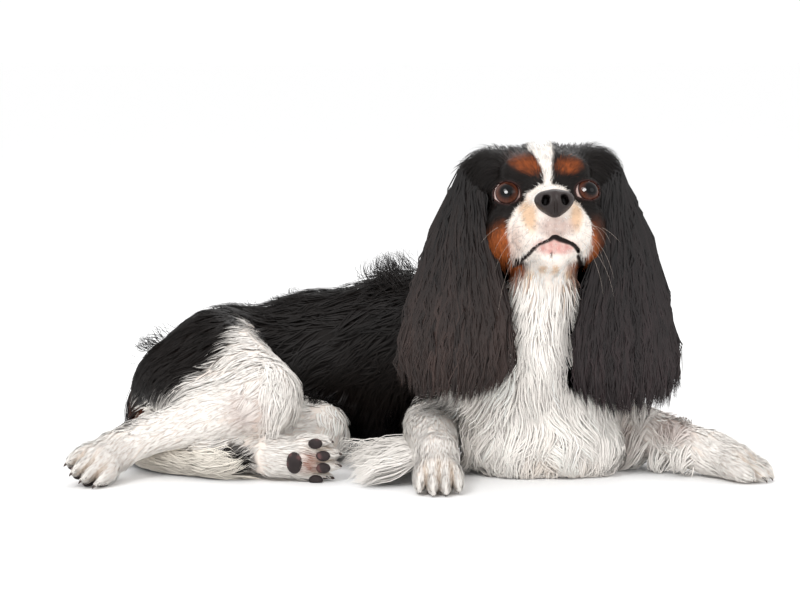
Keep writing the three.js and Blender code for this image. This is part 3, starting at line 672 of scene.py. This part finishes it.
# claws, one for each toe, and pads under the hind feet
def rodMesh(path, radii, around=8):
    along = unit(np.gradient(path, axis=0))
    side = unit(np.cross(along, (0.3, 0.2, 0.93)))
    over = np.cross(side, along)
    turn = np.linspace(0, 2 * math.pi, around, endpoint=False)[:, None]
    spokes = np.cos(turn) * side[:, None] + np.sin(turn) * over[:, None]
    rings = path[:, None] + np.array(radii)[:, None, None] * spokes
    return rings.reshape(-1, 3), ringFaces(len(path), around)


clawShape = {"reach": [0, 3.5, 6.2, 8.2, 9.2], "drop": [-3.4, -3.2, -4, -5.4, -7],
             "radius": [1.5, 1.4, 1.2, 0.8, 0.15]}
for name, paw in paws.items():
    points, faces = [], []
    for toe in toes:
        tip = toeReach(toe) * paw["long"] + paw["claw"]
        bend = zip(clawShape["reach"], clawShape["drop"])
        path = np.array([(toe * toeSpread, tip + reach, drop) for reach, drop in bend])
        rings, quads = rodMesh(path @ paw["turn"].T + paw["at"], clawShape["radius"])
        faces.append(quads + len(points) * len(rings))
        points.append(rings)
    claws = newMesh(f"claws_{name}", np.concatenate(points), np.concatenate(faces), clawMaterial)
    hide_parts(*[f"claw_{nodeName(name)}_{i + 1}" for i in range(4)])

padShape = {  # place and radii of the pads
    "main": ((15, -14.9), (8.4, 6, 3.6)), "toes": (-11.6, (4.032, 5.4, 3.2)), "step": 1.1, "reach": 34,
    "dark": tone(48, 40, 40), "blot": tone(84, 52, 50),
}


def padField(paw):
    (ahead, below), radii = padShape["main"]
    toeBelow, toeRadii = padShape["toes"]
    places = [(toe * toeSpread, (toeReach(toe) + 1) * paw["long"], toeBelow) for toe in toes]
    shapes = melt(0.6, egg((0, ahead * paw["long"], below), radii),
                  *[egg(place, toeRadii) for place in places])
    return lambda p: shapes(inPaw(paw, p))


for name in ("hindpawLeft", "hindpawRight"):
    paw = paws[name]
    middle = paw["at"] + np.array((0, 24 * paw["long"], -13)) @ paw["turn"].T
    reach = padShape["reach"]
    points, quads = netOf(padField(paw), middle - reach, middle + reach, padShape["step"])
    blot = wobble(points, 3)[:, None]
    colours = padShape["dark"] * (1 + 0.3 * blot) + padShape["blot"] * smooth(0.4, 0.8, blot)
    pads = newMesh(f"pads_{name}", points, quads, padMaterial, colours)
print("claws and pads done")

# the coat: thin tapered tufts rooted in the skin and combed over it
rng = np.random.default_rng(7)
skin.data.calc_loop_triangles()
triangles = np.empty(len(skin.data.loop_triangles) * 3, np.int32)
skin.data.loop_triangles.foreach_get("vertices", triangles)
triangles = triangles.reshape(-1, 3)
corners = skinPoints[triangles]
triangleArea = norm(np.cross(corners[:, 1] - corners[:, 0], corners[:, 2] - corners[:, 0])) / 2
triangleLabel = skinLabels[triangles[:, 0]]
triangleMiddle = corners.mean(1)


def rootsOn(parts, count, weight=None):
    share = triangleArea * np.isin(triangleLabel, [partNames.index(name) for name in parts])
    share = share * (triangleMiddle[:, 2] > 4)
    if weight:
        share = share * weight(triangleMiddle)
    chosen = rng.choice(len(share), count, p=share / share.sum())
    a, b = np.sqrt(rng.random((count, 1))), rng.random((count, 1))
    return ((1 - a) * corners[chosen, 0] + a * (1 - b) * corners[chosen, 1] + a * b * corners[chosen, 2],
            triangleLabel[chosen])


def unwrap(p, labels):  # each body part is rolled out round its long side, in a cell of its own
    uv = np.zeros((len(p), 2))
    for i, name in enumerate(partNames):
        here = labels == i
        low, high = partBoxes[name]
        axis = int(np.argmax(high - low))
        a, b = [k for k in range(3) if k != axis]
        q = p[here] - (low + high) / 2
        uv[here, 0] = (i % 4 + 0.03 + 0.94 * (np.arctan2(q[:, b], q[:, a]) / (2 * math.pi) + 0.5)) / 4
        uv[here, 1] = (i // 4 + 0.03 + 0.94 * np.clip(q[:, axis] / (high - low)[axis] + 0.5, 0, 1)) / 4
    return uv


# tufts along paths: closed prisms of three sides whose normals follow outs, leaning to one side by lean
def tuftMesh(name, paths, outs, widths, thick, inks, uv, material, lean=0.5, profile=None):
    count, knots = paths.shape[:2]
    rings = knots - 2
    t = np.linspace(0, 1, knots)
    along = unit(np.gradient(paths, axis=1))
    side = unit(np.cross(along, outs))
    over = np.cross(side, along)[:, 1:-1]
    if profile is None:
        profile = np.minimum(1, 0.75 + t) * (1 - t ** 2.2) ** 0.8
    wide = (widths[:, None] * profile)[:, 1:-1, None]
    base, side = paths[:, 1:-1], side[:, 1:-1]
    ring = np.stack([base - side * wide / 2, base + over * wide * thick, base + side * wide / 2], 2)
    points = np.concatenate([paths[:, :1], ring.reshape(count, rings * 3, 3), paths[:, -1:]], 1)
    tip = 3 * rings + 1
    faces = []
    for c in range(3):
        d = (c + 1) % 3
        faces.append((0, 1 + d, 1 + c))
        for a in range(1, tip - 3, 3):
            faces += [(a + c, a + d, a + 3 + d), (a + c, a + 3 + d, a + 3 + c)]
        faces.append((tip - 3 + c, tip - 3 + d, tip))
    faces = np.array(faces)
    allFaces = (faces[None] + (np.arange(count) * (tip + 1))[:, None, None]).reshape(-1, 3)
    flat = points.reshape(-1, 3)
    flat[:, 2] = np.maximum(flat[:, 2], 0.35)
    share = np.concatenate([[0], np.repeat(t[1:-1], 3), [1]])
    colours = inks[0][:, None] * (1 - share[None, :, None]) + inks[1][:, None] * share[None, :, None]
    piece = newMesh(name, flat, allFaces, material, np.clip(colours.reshape(-1, 3), 0, 1))
    turned = lean * np.array((-1, 0.3, 1))[:, None]
    soft = unit(outs[:, 1:-1, None] + turned * side[:, :, None]).reshape(count, rings * 3, 3)
    normals = np.concatenate([outs[:, :1], soft, unit(outs[:, -1:] + 0.2 * along[:, -1:])], 1).reshape(-1, 3)
    piece.data.normals_split_custom_set_from_vertices(normals)
    aside = np.concatenate([[0], np.tile([-0.0015, 0, 0.0015], rings), [0]])
    local = np.stack([aside, 0.003 * (share - 0.5)], 1)
    layer = piece.data.uv_layers.new(name="OFBake")
    layer.data.foreach_set("uv", (uv[:, None] + local[None])[:, faces.ravel()].astype(np.float32).ravel())
    return piece


# paths that set out from roots the way that lie says and stay about rise over the skin
def combed(roots, lengths, lie, rise, knots, hold, stray):
    count = len(roots)
    paths, outs = np.empty((2, count, knots, 3))
    normal = slopeOf(skinField, roots, 0.8)
    paths[:, 0], outs[:, 0] = roots - 1.2 * normal, normal
    here = roots.copy()
    jitter = rng.normal(size=(count, 3)) * stray
    for i in range(1, knots):
        way = lie(here) + jitter
        inward = np.minimum((way * normal).sum(1, keepdims=True), 0.3)
        near = 1 / (1 + np.maximum(skinField(here), 0) / 12)
        way = unit(way - inward * normal * near[:, None])
        here = here + way * (lengths / (knots - 1))[:, None]
        value = skinField(here)
        push = rise * (i / (knots - 1)) ** 0.7 - value
        here = here + normal * np.where(push > 0, push, push * hold * (value < 40))[:, None]
        here[:, 2] = np.maximum(here[:, 2], 0.6)
        fresh = slopeOf(skinField, here, 1.0)
        normal = np.where((value < 25)[:, None], unit(0.6 * fresh + 0.4 * normal), normal)
        paths[:, i], outs[:, i] = here, normal
    return paths, outs


# locks: each path is pulled towards the nearest of some guides, and a lock may wave
def clumped(paths, outs, group, amount, wave, waveLength):
    count, knots = paths.shape[:2]
    guides = rng.choice(count, max(1, count // group), replace=False)
    tree = KDTree(len(guides))
    for i, guide in enumerate(guides):
        tree.insert(paths[guide, 0], i)
    tree.balance()
    own = np.array([tree.find(p)[1] for p in paths[:, 0]])
    t = np.linspace(0, 1, knots)[None, :, None]
    pull = (amount * rng.uniform(0.6, 1.15, count))[:, None, None] * t ** 1.2
    paths = paths + np.clip(pull, 0, 0.95) * (paths[guides[own]] - paths)
    if wave:
        phase = rng.uniform(0, 6.28, len(guides))[own][:, None, None]
        size = (wave * rng.uniform(0.4, 1.3, len(guides)))[own][:, None, None]
        side = unit(np.cross(unit(np.gradient(paths, axis=1)), outs))
        reach = norm(np.diff(paths, axis=1)).sum(1)[:, None, None] * t
        paths = paths + side * size * t * np.sin(2 * math.pi * reach / waveLength + phase)
    return paths, own


# ways for the hair to lie, and its length and height over the skin, as functions of the place
def steady(*way):
    return lambda p: np.tile(unit(np.array(way, float)), (len(p), 1))


def even(amount):
    return lambda p: np.full(len(p), float(amount))


def fade(axis, low, high, first, last):  # first where the axis is at low, last where it's at high
    return lambda p: first + (last - first) * smooth(low, high, p[:, "xyz".index(axis)])


def within(**limits):  # keeps roots between two places along some axes
    def keep(p):
        values = [(p[:, "xyz".index(axis)], low, high) for axis, (low, high) in limits.items()]
        return np.all([(value > low) & (value < high) for value, low, high in values], 0)
    return keep


def alongBone(a, b, extra=(0, 0, 0)):
    return steady(*(unit(joint[b] - joint[a]) + extra))


def headLie(p):
    x, y, z = toHead(p).T[..., None]
    lowness = smooth(-20, -50, z)
    way = unit(toHead(p) - np.array((0, -52, -17))) * (1 - 0.6 * lowness)
    way += np.array((0, 0.25, -0.9)) * lowness
    way += np.array((0, 0.5, -0.35)) * smooth(0, 60, y)
    aside = smooth(28, 48, np.abs(x))
    way += aside * np.sign(x) * np.array((0.5, 0, 0)) + aside * np.array((0, -0.2, -1.3))
    way += 0.25 * wobble(p, 9, 1)[:, None] * np.array((1, 0, 0.4))
    return unit(way @ headTurn.T)


def headLength(p):
    x, y, z = toHead(p).T
    x = np.abs(x)
    muzzle = smooth(6, -10, y) * smooth(46, 30, x) * smooth(8, 0, z)
    cheek = smooth(-5, -30, z) * smooth(0, 30, y)
    earBase = smooth(26, 44, x) * smooth(-25, 10, z)
    nose = smooth(20, 8, norm(toHead(p) - noseShape["centre"]))
    jowl = smooth(-18, -34, z) * smooth(14, 24, x) * smooth(2, 16, y)
    length = (6 + 4 * cheek + 8 * smooth(26, 60, y) + 15 * earBase + 5 * smooth(18, 32, z) + 10 * jowl
              - 4.2 * muzzle - 0.3 * nose)
    eyes = np.minimum.reduce([norm(p - eyeAt[side]) for side in sides])
    mouth = strandDistance(p, mouthPath, mouthRadii)
    return length * (0.4 + 0.6 * smooth(11.5, 20, eyes)) * (0.5 + 0.5 * smooth(1, 6, mouth))


def headRise(p):
    x, y, z = toHead(p).T
    crown = smooth(20, 38, z) * smooth(-4, 16, y)
    dip = np.exp(-((np.abs(x) - 30) / 12) ** 2)
    return 0.8 + 0.14 * np.maximum(headLength(p) - 6, 0) + crown * (1.8 + 1.5 * dip)


def chestLie(p):
    x, y, z = p.T
    spread = smooth(50, 5, z)
    way = [(x - 110) / 55 * (0.2 + 0.25 * spread) + 0.34 * wobble(p, 26, 2), -0.12 - 0.2 * spread, -1 + 0 * x]
    return unit(np.stack(way, 1))


def neckLie(p):
    x, y, z = p.T
    return unit(np.stack([(x - 106) / 60 + 0.25 * wobble(p, 22, 4), -0.1 + 0 * x, -1 + 0 * x], 1))


def neckRise(p):
    x, y, z = p.T
    return 2.5 + 3 * smooth(170, 120, z) + 12 * smooth(8, 26, np.abs(x - 106)) * smooth(52, 36, y)


def backRise(least):  # higher on the withers
    return lambda p: least + 8 * smooth(-70, -5, p[:, 0]) * smooth(128, 148, p[:, 2])


def torsoLie(p):
    x, y, z = p.T
    down, front = smooth(130, 40, z), smooth(-20, 60, x)
    return unit(np.stack([-1 + 0.55 * down * front, -0.25 + 0.25 * wobble(p, 24, 5),
                          -0.2 - 0.75 * down - 0.3 * front + 0.3 * wobble(p, 30, 1)], 1))


def thighLie(p):
    toHock = smooth(-90, -170, p[:, 0])
    return unit(np.stack([-0.55 - 0.4 * toHock + 0.25 * wobble(p, 24, 3), -0.08 + 0 * toHock,
                          -0.85 + 0.35 * toHock], 1))


def tailLie(p):
    nearest = np.minimum(norm(p[:, None] - tailPath).argmin(1), len(tailPath) - 2)
    along = unit(tailPath[nearest + 1] - tailPath[nearest])
    ragged = 0.35 * wobble(p, 12)[:, None] * np.array((0.4, -0.6, 0.2))
    return unit(along + np.array((0.25, -0.35, 0)) + ragged)


def pawLength(paw):  # longer between the toes and under the paw
    def length(p):
        across, ahead, above = inPaw(paw, p).T
        between = np.exp(-((np.abs(np.abs(across / toeSpread + 0.5) % 1 - 0.5) - 0.5) / 0.25) ** 2)
        return 8 + 4 * between * smooth(18, 30, ahead) + 3 * smooth(-6, -14, above)
    return length


# a coat grows on some parts: how many tufts, how wide, how many to a lock and how far the lock pulls them in
usualCoat = {"knots": 4, "pull": 0.6, "wave": 0, "waveLength": 38, "hold": 0.8, "stray": 0.12, "fuzz": 2.5,
             "varied": 0.06, "lean": 0.5, "where": None, "face": None}
silky, sleek = {"varied": 0.03, "lean": 0.3}, {"lean": 0.12, "stray": 0.05, "varied": 0.02}


def coatOn(parts, count, length, lie, rise, width, lock, **more):
    return {"on": parts, "count": count, "length": length, "lie": lie, "rise": rise, "width": width,
            "lock": lock, **usualCoat, **more}


coats = {
    "head": coatOn(["head"], 14600, headLength, headLie, headRise, 0.52, 5, pull=0.35, fuzz=0.7, stray=0.08,
                   varied=0.13, lean=0.35),
    "torso1": coatOn(["torso"], 5700, fade("z", 110, 40, 24, 36), torsoLie, backRise(4.5), 1.7, 20, knots=5,
                     pull=0.72, wave=1.5),
    "torso2": coatOn(["torso"], 4000, fade("z", 120, 50, 32, 52), torsoLie, backRise(6.5), 1.25, 26, knots=6,
                     pull=0.75, wave=3, hold=0.6),
    "neck": coatOn(["neck"], 4000, fade("z", 175, 120, 18, 42), neckLie, neckRise, 1.15, 24, knots=6,
                   wave=2.6, hold=0.6, **silky),
    "belly": coatOn(["torso"], 1300, even(44), steady(-0.35, -0.4, -1), even(7), 1.3, 30, knots=6, pull=0.7,
                    wave=3, hold=0.1, where=within(x=(-75, 24), y=(-999, 100), z=(-999, 62))),
    "chest1": coatOn(["chest"], 3000, even(30), chestLie, even(4), 1.9, 16, wave=1.5, lean=0.35),
    "chest2": coatOn(["chest"], 4400, fade("z", 30, 90, 40, 62), chestLie, even(10), 1.1, 70, knots=8,
                     pull=0.82, wave=8.5, waveLength=52, hold=0.6, **silky),
    "thigh": coatOn(["thighRight"], 6400, fade("x", -120, -180, 13, 22), thighLie, even(2.6), 1.1, 20,
                    wave=0.8, lean=0.1, stray=0.05, varied=0.015),
    "knee": coatOn(["thighRight", "shinRight"], 800, even(25), steady(-0.1, -0.15, -1), even(5), 0.8, 30,
                   knots=6, wave=3, hold=0.4, varied=0.03, lean=0.2,
                   where=within(x=(-104, 999), z=(52, 999))),
    "thighFar": coatOn(["thighLeft"], 1300, even(18), thighLie, even(3.5), 1.4, 18, knots=5, pull=0.7,
                       wave=1),
    "shin": coatOn(["shinRight"], 4000, fade("z", 30, 8, 8, 15),
                   alongBone("kneeRight", "hockRight", (0, 0, -0.2)), even(1.4), 0.9, 14, pull=0.45, **sleek),
    "shinFar": coatOn(["shinLeft"], 2600, even(10), alongBone("kneeLeft", "hockLeft"), even(1.8), 0.9, 12,
                      pull=0.5, lean=0.12, varied=0.02),
}
for name, extra in (("Right", (-0.2, 0, -0.4)), ("Left", (-0.1, -0.25, -0.4))):
    coats[f"foreleg{name}"] = coatOn([f"foreleg{name}"], 4100, fade("z", 40, 8, 9, 20),
                                     alongBone(f"elbow{name}", f"wrist{name}", extra), even(1.8), 0.95, 14,
                                     pull=0.5, wave=0.5, **sleek)
coats["featherRight"] = coatOn(["forelegRight"], 1000, even(54), steady(-0.95, -0.3, -0.3), even(5), 0.8, 36,
                               knots=7, wave=5, hold=0.04, varied=0.02, lean=0.2, face=(-0.1, -0.7, 0.7),
                               where=within(x=(-999, 14), z=(-999, 23)))
coats["featherLeft"] = coatOn(["forelegLeft"], 1500, fade("x", 175, 215, 26, 12), steady(-0.45, -0.5, -0.75),
                              even(6), 0.95, 36, knots=6, pull=0.7, wave=4, hold=0.04, varied=0.04, lean=0.2,
                              face=(0, -0.8, 0.6), where=within(x=(140, 222)))
coats["tail"] = coatOn(["tail"], 2400, even(52), tailLie, even(9), 0.9, 40, knots=6, wave=4, hold=0.25,
                       varied=0.03, lean=0.2, face=(0, -0.7, 0.7), where=within(x=(-999, -146)))
for name, paw in paws.items():
    coats[name] = coatOn([name], 2700, pawLength(paw), steady(*(paw["turn"][:, 1] + (0, 0, -0.2))), even(2.6),
                         0.62, 8, pull=0.3, fuzz=0.8, lean=0.12, stray=0.08, varied=0.02)

triangleCount = 0
for name, coat in coats.items():
    roots, labels = rootsOn(coat["on"], coat["count"], coat["where"])
    if name in ("head", "neck"):  # none on nose, lids and lips
        free = (noseMass(toHead(roots)) > 0.4) & (strandDistance(roots, mouthPath, lipRadii) > 0.2)
        for side in sides:
            free &= openingOf(roots, side) > 1.2
        roots, labels = roots[free], labels[free]
    many = len(roots)
    lengths = coat["length"](roots) * rng.uniform(0.72, 1.2, many)
    rises = coat["rise"](roots) * rng.uniform(0.2, 1.15, many)
    paths, outs = combed(roots, lengths, coat["lie"], rises, coat["knots"], coat["hold"], coat["stray"])
    paths, own = clumped(paths, outs, coat["lock"], coat["pull"], coat["wave"], coat["waveLength"])
    if coat["face"]:
        outs = unit(outs * 0.35 + np.array(coat["face"]))
    blur = rng.normal(0, coat["fuzz"], roots.shape)
    rootTone = coatColours(roots + blur, labels)
    tipTone = 0.35 * rootTone + 0.65 * coatColours(paths[:, -1] + blur, labels)
    varied = coat["varied"]
    lightness = (rng.normal(1, varied, many) * rng.normal(1, varied * 0.8, own.max() + 1)[own])[:, None]
    # each tuft's root is painted 4% darker, painted shade deep in the coat
    piece = tuftMesh(f"coat_{name}", paths, outs, coat["width"] * rng.uniform(0.7, 1.25, many), 0.3,
                     (rootTone * lightness * 0.96, tipTone * lightness), unwrap(roots, labels), hairMaterial,
                     coat["lean"])
    triangleCount += len(piece.data.polygons)
    print("coat", name, len(piece.data.polygons))
print("coat triangles", triangleCount)

# the ears: a thin flap each and long wavy hair falling over both its faces
earShape = {
    "top": 246, "drop": {"right": 189, "left": 199}, "out": {"right": (57, 70), "left": (54, 63)},
    "trim": {"right": (-6, 7), "left": (-11, 4)}, "leather": 0.44, "rows": 40, "tufts": 4700, "knots": 7,
    "locks": 80, "wave": 3.8, "width": 1.5, "black": tone(15, 12, 12),
    # the brown at the hair's ends is the coat's own; the right ear's is lighter as a painted highlight and
    # the left ear's darker as painted shade
    "sideLitBrown": {"right": tone(50, 37, 33), "left": tone(36, 25, 26)},
}


def earWays(side):  # outwards and forwards
    s = sides[side]
    return np.array((0.93 * s, 0.36, 0)), np.array((0.36 * s, -0.93, 0))


def onEar(side, across, h, depth):  # the place at a share h of the drop
    outer, front = earWays(side)
    begin, end = earShape["out"][side]
    above, below = earShape["trim"][side]
    middle = np.stack([eyeLine[0] + sides[side] * (begin + (end - begin) * h - 22 * (1 - smooth(0, 0.06, h))),
                       22 - 32 * smooth(0, 1 / 1.3, h), earShape["top"] - earShape["drop"][side] * h], -1)
    outward = above * (1 - smooth(0.03, 0.3, h)) + below * smooth(0.12, 0.5, h)
    halfWidth = 15 + 28 * smooth(0, 0.85, h) + np.where(across < 0, 9 * smooth(0.25, 0.75, h), outward)
    return middle + outer * (across * halfWidth)[..., None] + front * (depth - 7 * across ** 2)[..., None]


for side, s in sides.items():
    outer, front = earWays(side)
    rows, many, locks = earShape["rows"], earShape["tufts"], earShape["locks"]
    h, turn = np.meshgrid(np.linspace(0, earShape["leather"], rows),
                          np.linspace(0, 2 * math.pi, rows, endpoint=False), indexing="ij")
    end = 1 - 0.7 * smooth(0.6, 1, h / earShape["leather"])
    points = onEar(side, 0.8 * np.cos(turn) * end, h, 3.2 * np.sin(turn) * end).reshape(-1, 3)
    quads = ringFaces(rows, rows)
    flap = newMesh(f"ear_flap_{side}", points, quads if s > 0 else quads[:, ::-1], skinMaterial,
                   np.tile(palette["black"], (len(points), 1)))

    # locks have a place across, a wave, a tone and an end of their own
    guideSide = rng.uniform(-1, 1, locks)
    guideWave = rng.uniform(0, 6.28, locks)
    guideSize = earShape["wave"] * rng.uniform(0.3, 1.2, locks)
    guideTone = rng.uniform(0.6, 1.6, locks)
    guideEnd = rng.uniform(-0.035, 0.02, locks)
    back = rng.random(many) < 0.36
    start = rng.uniform(-0.01, 0.52, many)
    across = rng.uniform(-0.82, 0.82, many)
    own = np.abs(across[:, None] * 1.1 - guideSide[None] + rng.normal(0, 0.03, (many, locks))).argmin(1)
    hem = 0.985 - 0.1 * np.abs(guideSide[own]) ** 3 + guideEnd[own] + rng.uniform(-0.06, 0.015, many)
    end = np.minimum(start + rng.uniform(0.42, 0.95, many), hem)
    end = np.where(rng.random(many) < 0.5, hem, end)
    t = np.linspace(0, 1, earShape["knots"])[None]
    h = start[:, None] + (end - start)[:, None] * t
    pull = 0.78 * smooth(0, 0.75, t) * rng.uniform(0.7, 1.1, many)[:, None]
    place = across[:, None] * (1 - pull) + guideSide[own][:, None] * 0.98 * pull
    place *= 1 - 0.12 * smooth(0.85, 1, h)
    lift = (2.5 + 5 * smooth(0.05, 0.35, h)) * rng.uniform(0.5, 1.15, many)[:, None] * smooth(0, 0.22, t)
    paths = onEar(side, place, h, np.where(back[:, None], -3 - lift, 3 + lift) * np.where(t == 0, 0.4, 1))
    reach = 2 * math.pi * h * earShape["drop"][side]
    size, phase = guideSize[own][:, None] * smooth(0, 0.4, t), guideWave[own][:, None]
    paths += outer * (size * np.sin(reach / 38 + phase))[..., None]
    paths += front * (0.6 * size * np.cos(reach / 44 + phase * 2))[..., None]
    outs = np.where(back[:, None, None], -front, front) + 0 * paths
    black, sideLitBrown = earShape["black"], earShape["sideLitBrown"][side]
    lightness = (guideTone[own] * rng.normal(1, 0.08, many))[:, None]
    inks = [(black + (sideLitBrown - black) * brownness[:, None]) * lightness
            for brownness in (0.7 * smooth(0.15, 0.7, start), smooth(0.4, 1, end))]
    cell = 0.875 if s > 0 else 0.755
    uv = np.stack([cell + 0.11 * (across + 0.82) / 1.64, 0.76 + 0.23 * start / 0.6], 1)
    hair = tuftMesh(f"coat_ear_{side}", paths, outs, earShape["width"] * rng.uniform(0.6, 1.25, many), 0.4,
                    inks, uv, earHairMaterial)
    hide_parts(f"ear_{side}")
    print("ear", side, len(hair.data.polygons))


# whiskers: bowed single hairs, one row above the other on each side
def bowed(start, way, length, sag, bend):
    t = np.linspace(0, 1, whiskerShape["knots"])[:, None]
    return start + unit(way) * length * t + np.array(bend, float) * sag * t ** 2


whiskerShape = {"perSide": 6, "length": (24, 44), "cheekLength": (14, 20), "width": 0.27, "knots": 8,
                "ivory": tone(186, 172, 162)}
whiskers, whiskerOuts = [], []
for side, s in sides.items():
    for i in range(whiskerShape["perSide"]):
        row, place = i % 3, i // 3
        start = surfaceAt(3 + s * (17 + 4.5 * place), -24 - 6 * row - 3 * place)
        out = slopeOf(skinField, start[None])[0]
        length = rng.uniform(*whiskerShape["length"])
        way = unit(out + np.array((1.1 * s, -0.1, 0.1 - 0.3 * row)) + rng.normal(0, 0.12, 3))
        whiskers.append(bowed(start - 1.5 * out, way, length, length * 0.75, (-0.35 * s, 0.35, -0.9)))
        whiskerOuts.append(out)
    start = surfaceAt(2 + s * 38, -26)  # one on the cheek
    out = slopeOf(skinField, start[None])[0]
    way = out + np.array((0.6 * s, -0.2, -0.3))
    length = rng.uniform(*whiskerShape["cheekLength"])
    whiskers.append(bowed(start - out, way, length, 9, (0.2 * s, 0.2, -0.9)))
    whiskerOuts.append(out)
whiskers = np.array(whiskers)
ivory = np.tile(whiskerShape["ivory"], (len(whiskers), 1))
tuftMesh("whiskers", whiskers, np.repeat(np.array(whiskerOuts)[:, None], whiskerShape["knots"], 1),
         np.full(len(whiskers), whiskerShape["width"]), 0.8, (ivory, ivory),
         unwrap(whiskers[:, 0], labelOf(whiskers[:, 0])), hairMaterial,
         profile=1 - 0.75 * np.linspace(0, 1, whiskerShape["knots"]))

# hair that stands up from withers, back and rump
standing = [  # place on the body, spread, way, length, how many, and how far it stands
    ((-2, 100, 156), 14, (-0.4, 0, 0.8), 30, 240, 0.62),
    ((-122, 125, 128), 9, (-0.7, 0, 0.7), 15, 60, 0.5),
    ((-94, 125, 132), 14, (-0.75, 0, 0.65), 15, 90, 0.45),
    ((-190, 104, 88), 9, (-0.8, -0.3, 0.5), 22, 80, 0.5),
]


def around(middle, spread):
    return lambda p: np.exp(-(norm(p - middle) / spread) ** 2)


for number, (place, spread, way, length, count, stand) in enumerate(standing):
    middle = skinPoints[norm(skinPoints - np.array(place)).argmin()]
    roots, labels = rootsOn(["torso", "thighRight"], count, around(middle, spread))
    lengths = length * rng.uniform(0.6, 1.25, count)
    paths, outs = combed(roots, lengths, steady(*way), np.full(count, length * stand), 7, 0.3, 0.26)
    paths, _ = clumped(paths, outs, 20, 0.5, 6.0, 30)
    colours = palette["black"] * rng.uniform(0.8, 1.5, (count, 1))
    tuftMesh(f"coat_standing_{number + 1}", paths, outs, 0.5 * rng.uniform(0.6, 1.2, count), 0.35,
             (colours, colours), unwrap(roots, labels), hairMaterial)

# wisps at the folds of the ears
foldShape = {  # for each side: how many hairs, where they start, which way they point and how long they are
    "right": [(9, (0.8, 0.02), (-1, -0.1, 0.1), 15), (9, (0.92, 0.055), (-0.8, -0.1, -0.45), 12)],
    "left": [(6, (0.85, 0.03), (1, -0.1, -0.12), 12)], "width": 0.7, "knots": 6, "droop": 0.012,
}
for side in sides:
    for number, (count, (across, h), way, length) in enumerate(foldShape[side]):
        roots = onEar(side, rng.normal(across, 0.06, count), rng.normal(h, 0.012, count),
                      rng.uniform(-2, 3, count))
        ways = unit(np.array(way) + rng.normal(0, 0.1, (count, 3)))
        t = np.linspace(0, 1, foldShape["knots"])[:, None]
        reach = length * rng.uniform(0.6, 1.1, count)[:, None, None] * t
        droop = np.array((0, 0, foldShape["droop"])) * reach ** 2
        paths = roots[:, None] + ways[:, None] * (reach - 4) - droop
        outs = np.tile(np.array((0.0, -0.6, 0.8)), (count, foldShape["knots"], 1))
        colours = np.tile(palette["black"], (count, 1))
        uv = np.stack([np.full(count, 0.77 if side == "right" else 0.89), rng.uniform(0.77, 0.8, count)], 1)
        tuftMesh(f"coat_fold_{side}_{number + 1}", paths, outs, np.full(count, foldShape["width"]), 0.35,
                 (colours, colours), uv, earHairMaterial)
print("whiskers and stray tufts done")

# floor and light
bpy.ops.mesh.primitive_plane_add(size=60, location=(0, 20, 0))
floor = bpy.context.object
floor.name = "floor"
floor.data.materials.append(shaderOf("pale floor", 0.85, 0.15, "floor"))

lightShape = {
    "world": 1.04, "target": (0, 0, 0.12),
    "lamps": {  # place, size and power
        "key": ((-0.9, -1.5, 1.7), 0.9, 18), "fill": ((1.6, -1.1, 0.9), 1.2, 5),
        "back": ((0.3, 1.4, 1.5), 1.0, 7), "catch": ((-0.45, -1.5, 0.95), 0.8, 70),
    },
}
world = bpy.data.worlds.new("studio")
world.use_nodes = True
world.node_tree.nodes["Background"].inputs["Color"].default_value = (1, 1, 1, 1)
world.node_tree.nodes["Background"].inputs["Strength"].default_value = lightShape["world"]
bpy.context.scene.world = world


def pointAt(thing, way):
    thing.rotation_euler = Vector(way).to_track_quat("-Z", "Y").to_euler()
    bpy.context.collection.objects.link(thing)


for name, (place, size, power) in lightShape["lamps"].items():
    lamp = bpy.data.lights.new(name, "AREA")
    lamp.shape, lamp.size, lamp.energy = "DISK", size, power
    holder = bpy.data.objects.new(name, lamp)
    holder.location = place
    pointAt(holder, Vector(lightShape["target"]) - holder.location)
catchLight = bpy.data.objects["catch"]  # seen only as a shine in the eyes
catchLight.visible_diffuse = False
eyesOnly = bpy.data.collections.new("eyes")
for side in sides:
    eyesOnly.objects.link(bpy.data.objects[f"globe_{side}"])
catchLight.light_linking.receiver_collection = eyesOnly

# the camera, a little above the dog
viewShape = {"target": (0, 0, 135), "down": 6.0, "away": 1800, "lens": 108, "sensor": 36}
down = math.radians(viewShape["down"])
ahead = np.array((0, math.cos(down), -math.sin(down)))
camera = bpy.data.objects.new("camera", bpy.data.cameras.new("camera"))
camera.data.lens = viewShape["lens"]
camera.data.sensor_width = viewShape["sensor"]
camera.location = toFrame(np.array(viewShape["target"]) - ahead * viewShape["away"])
pointAt(camera, ahead)
bpy.context.scene.camera = camera
bpy.context.scene.view_settings.view_transform = "Standard"
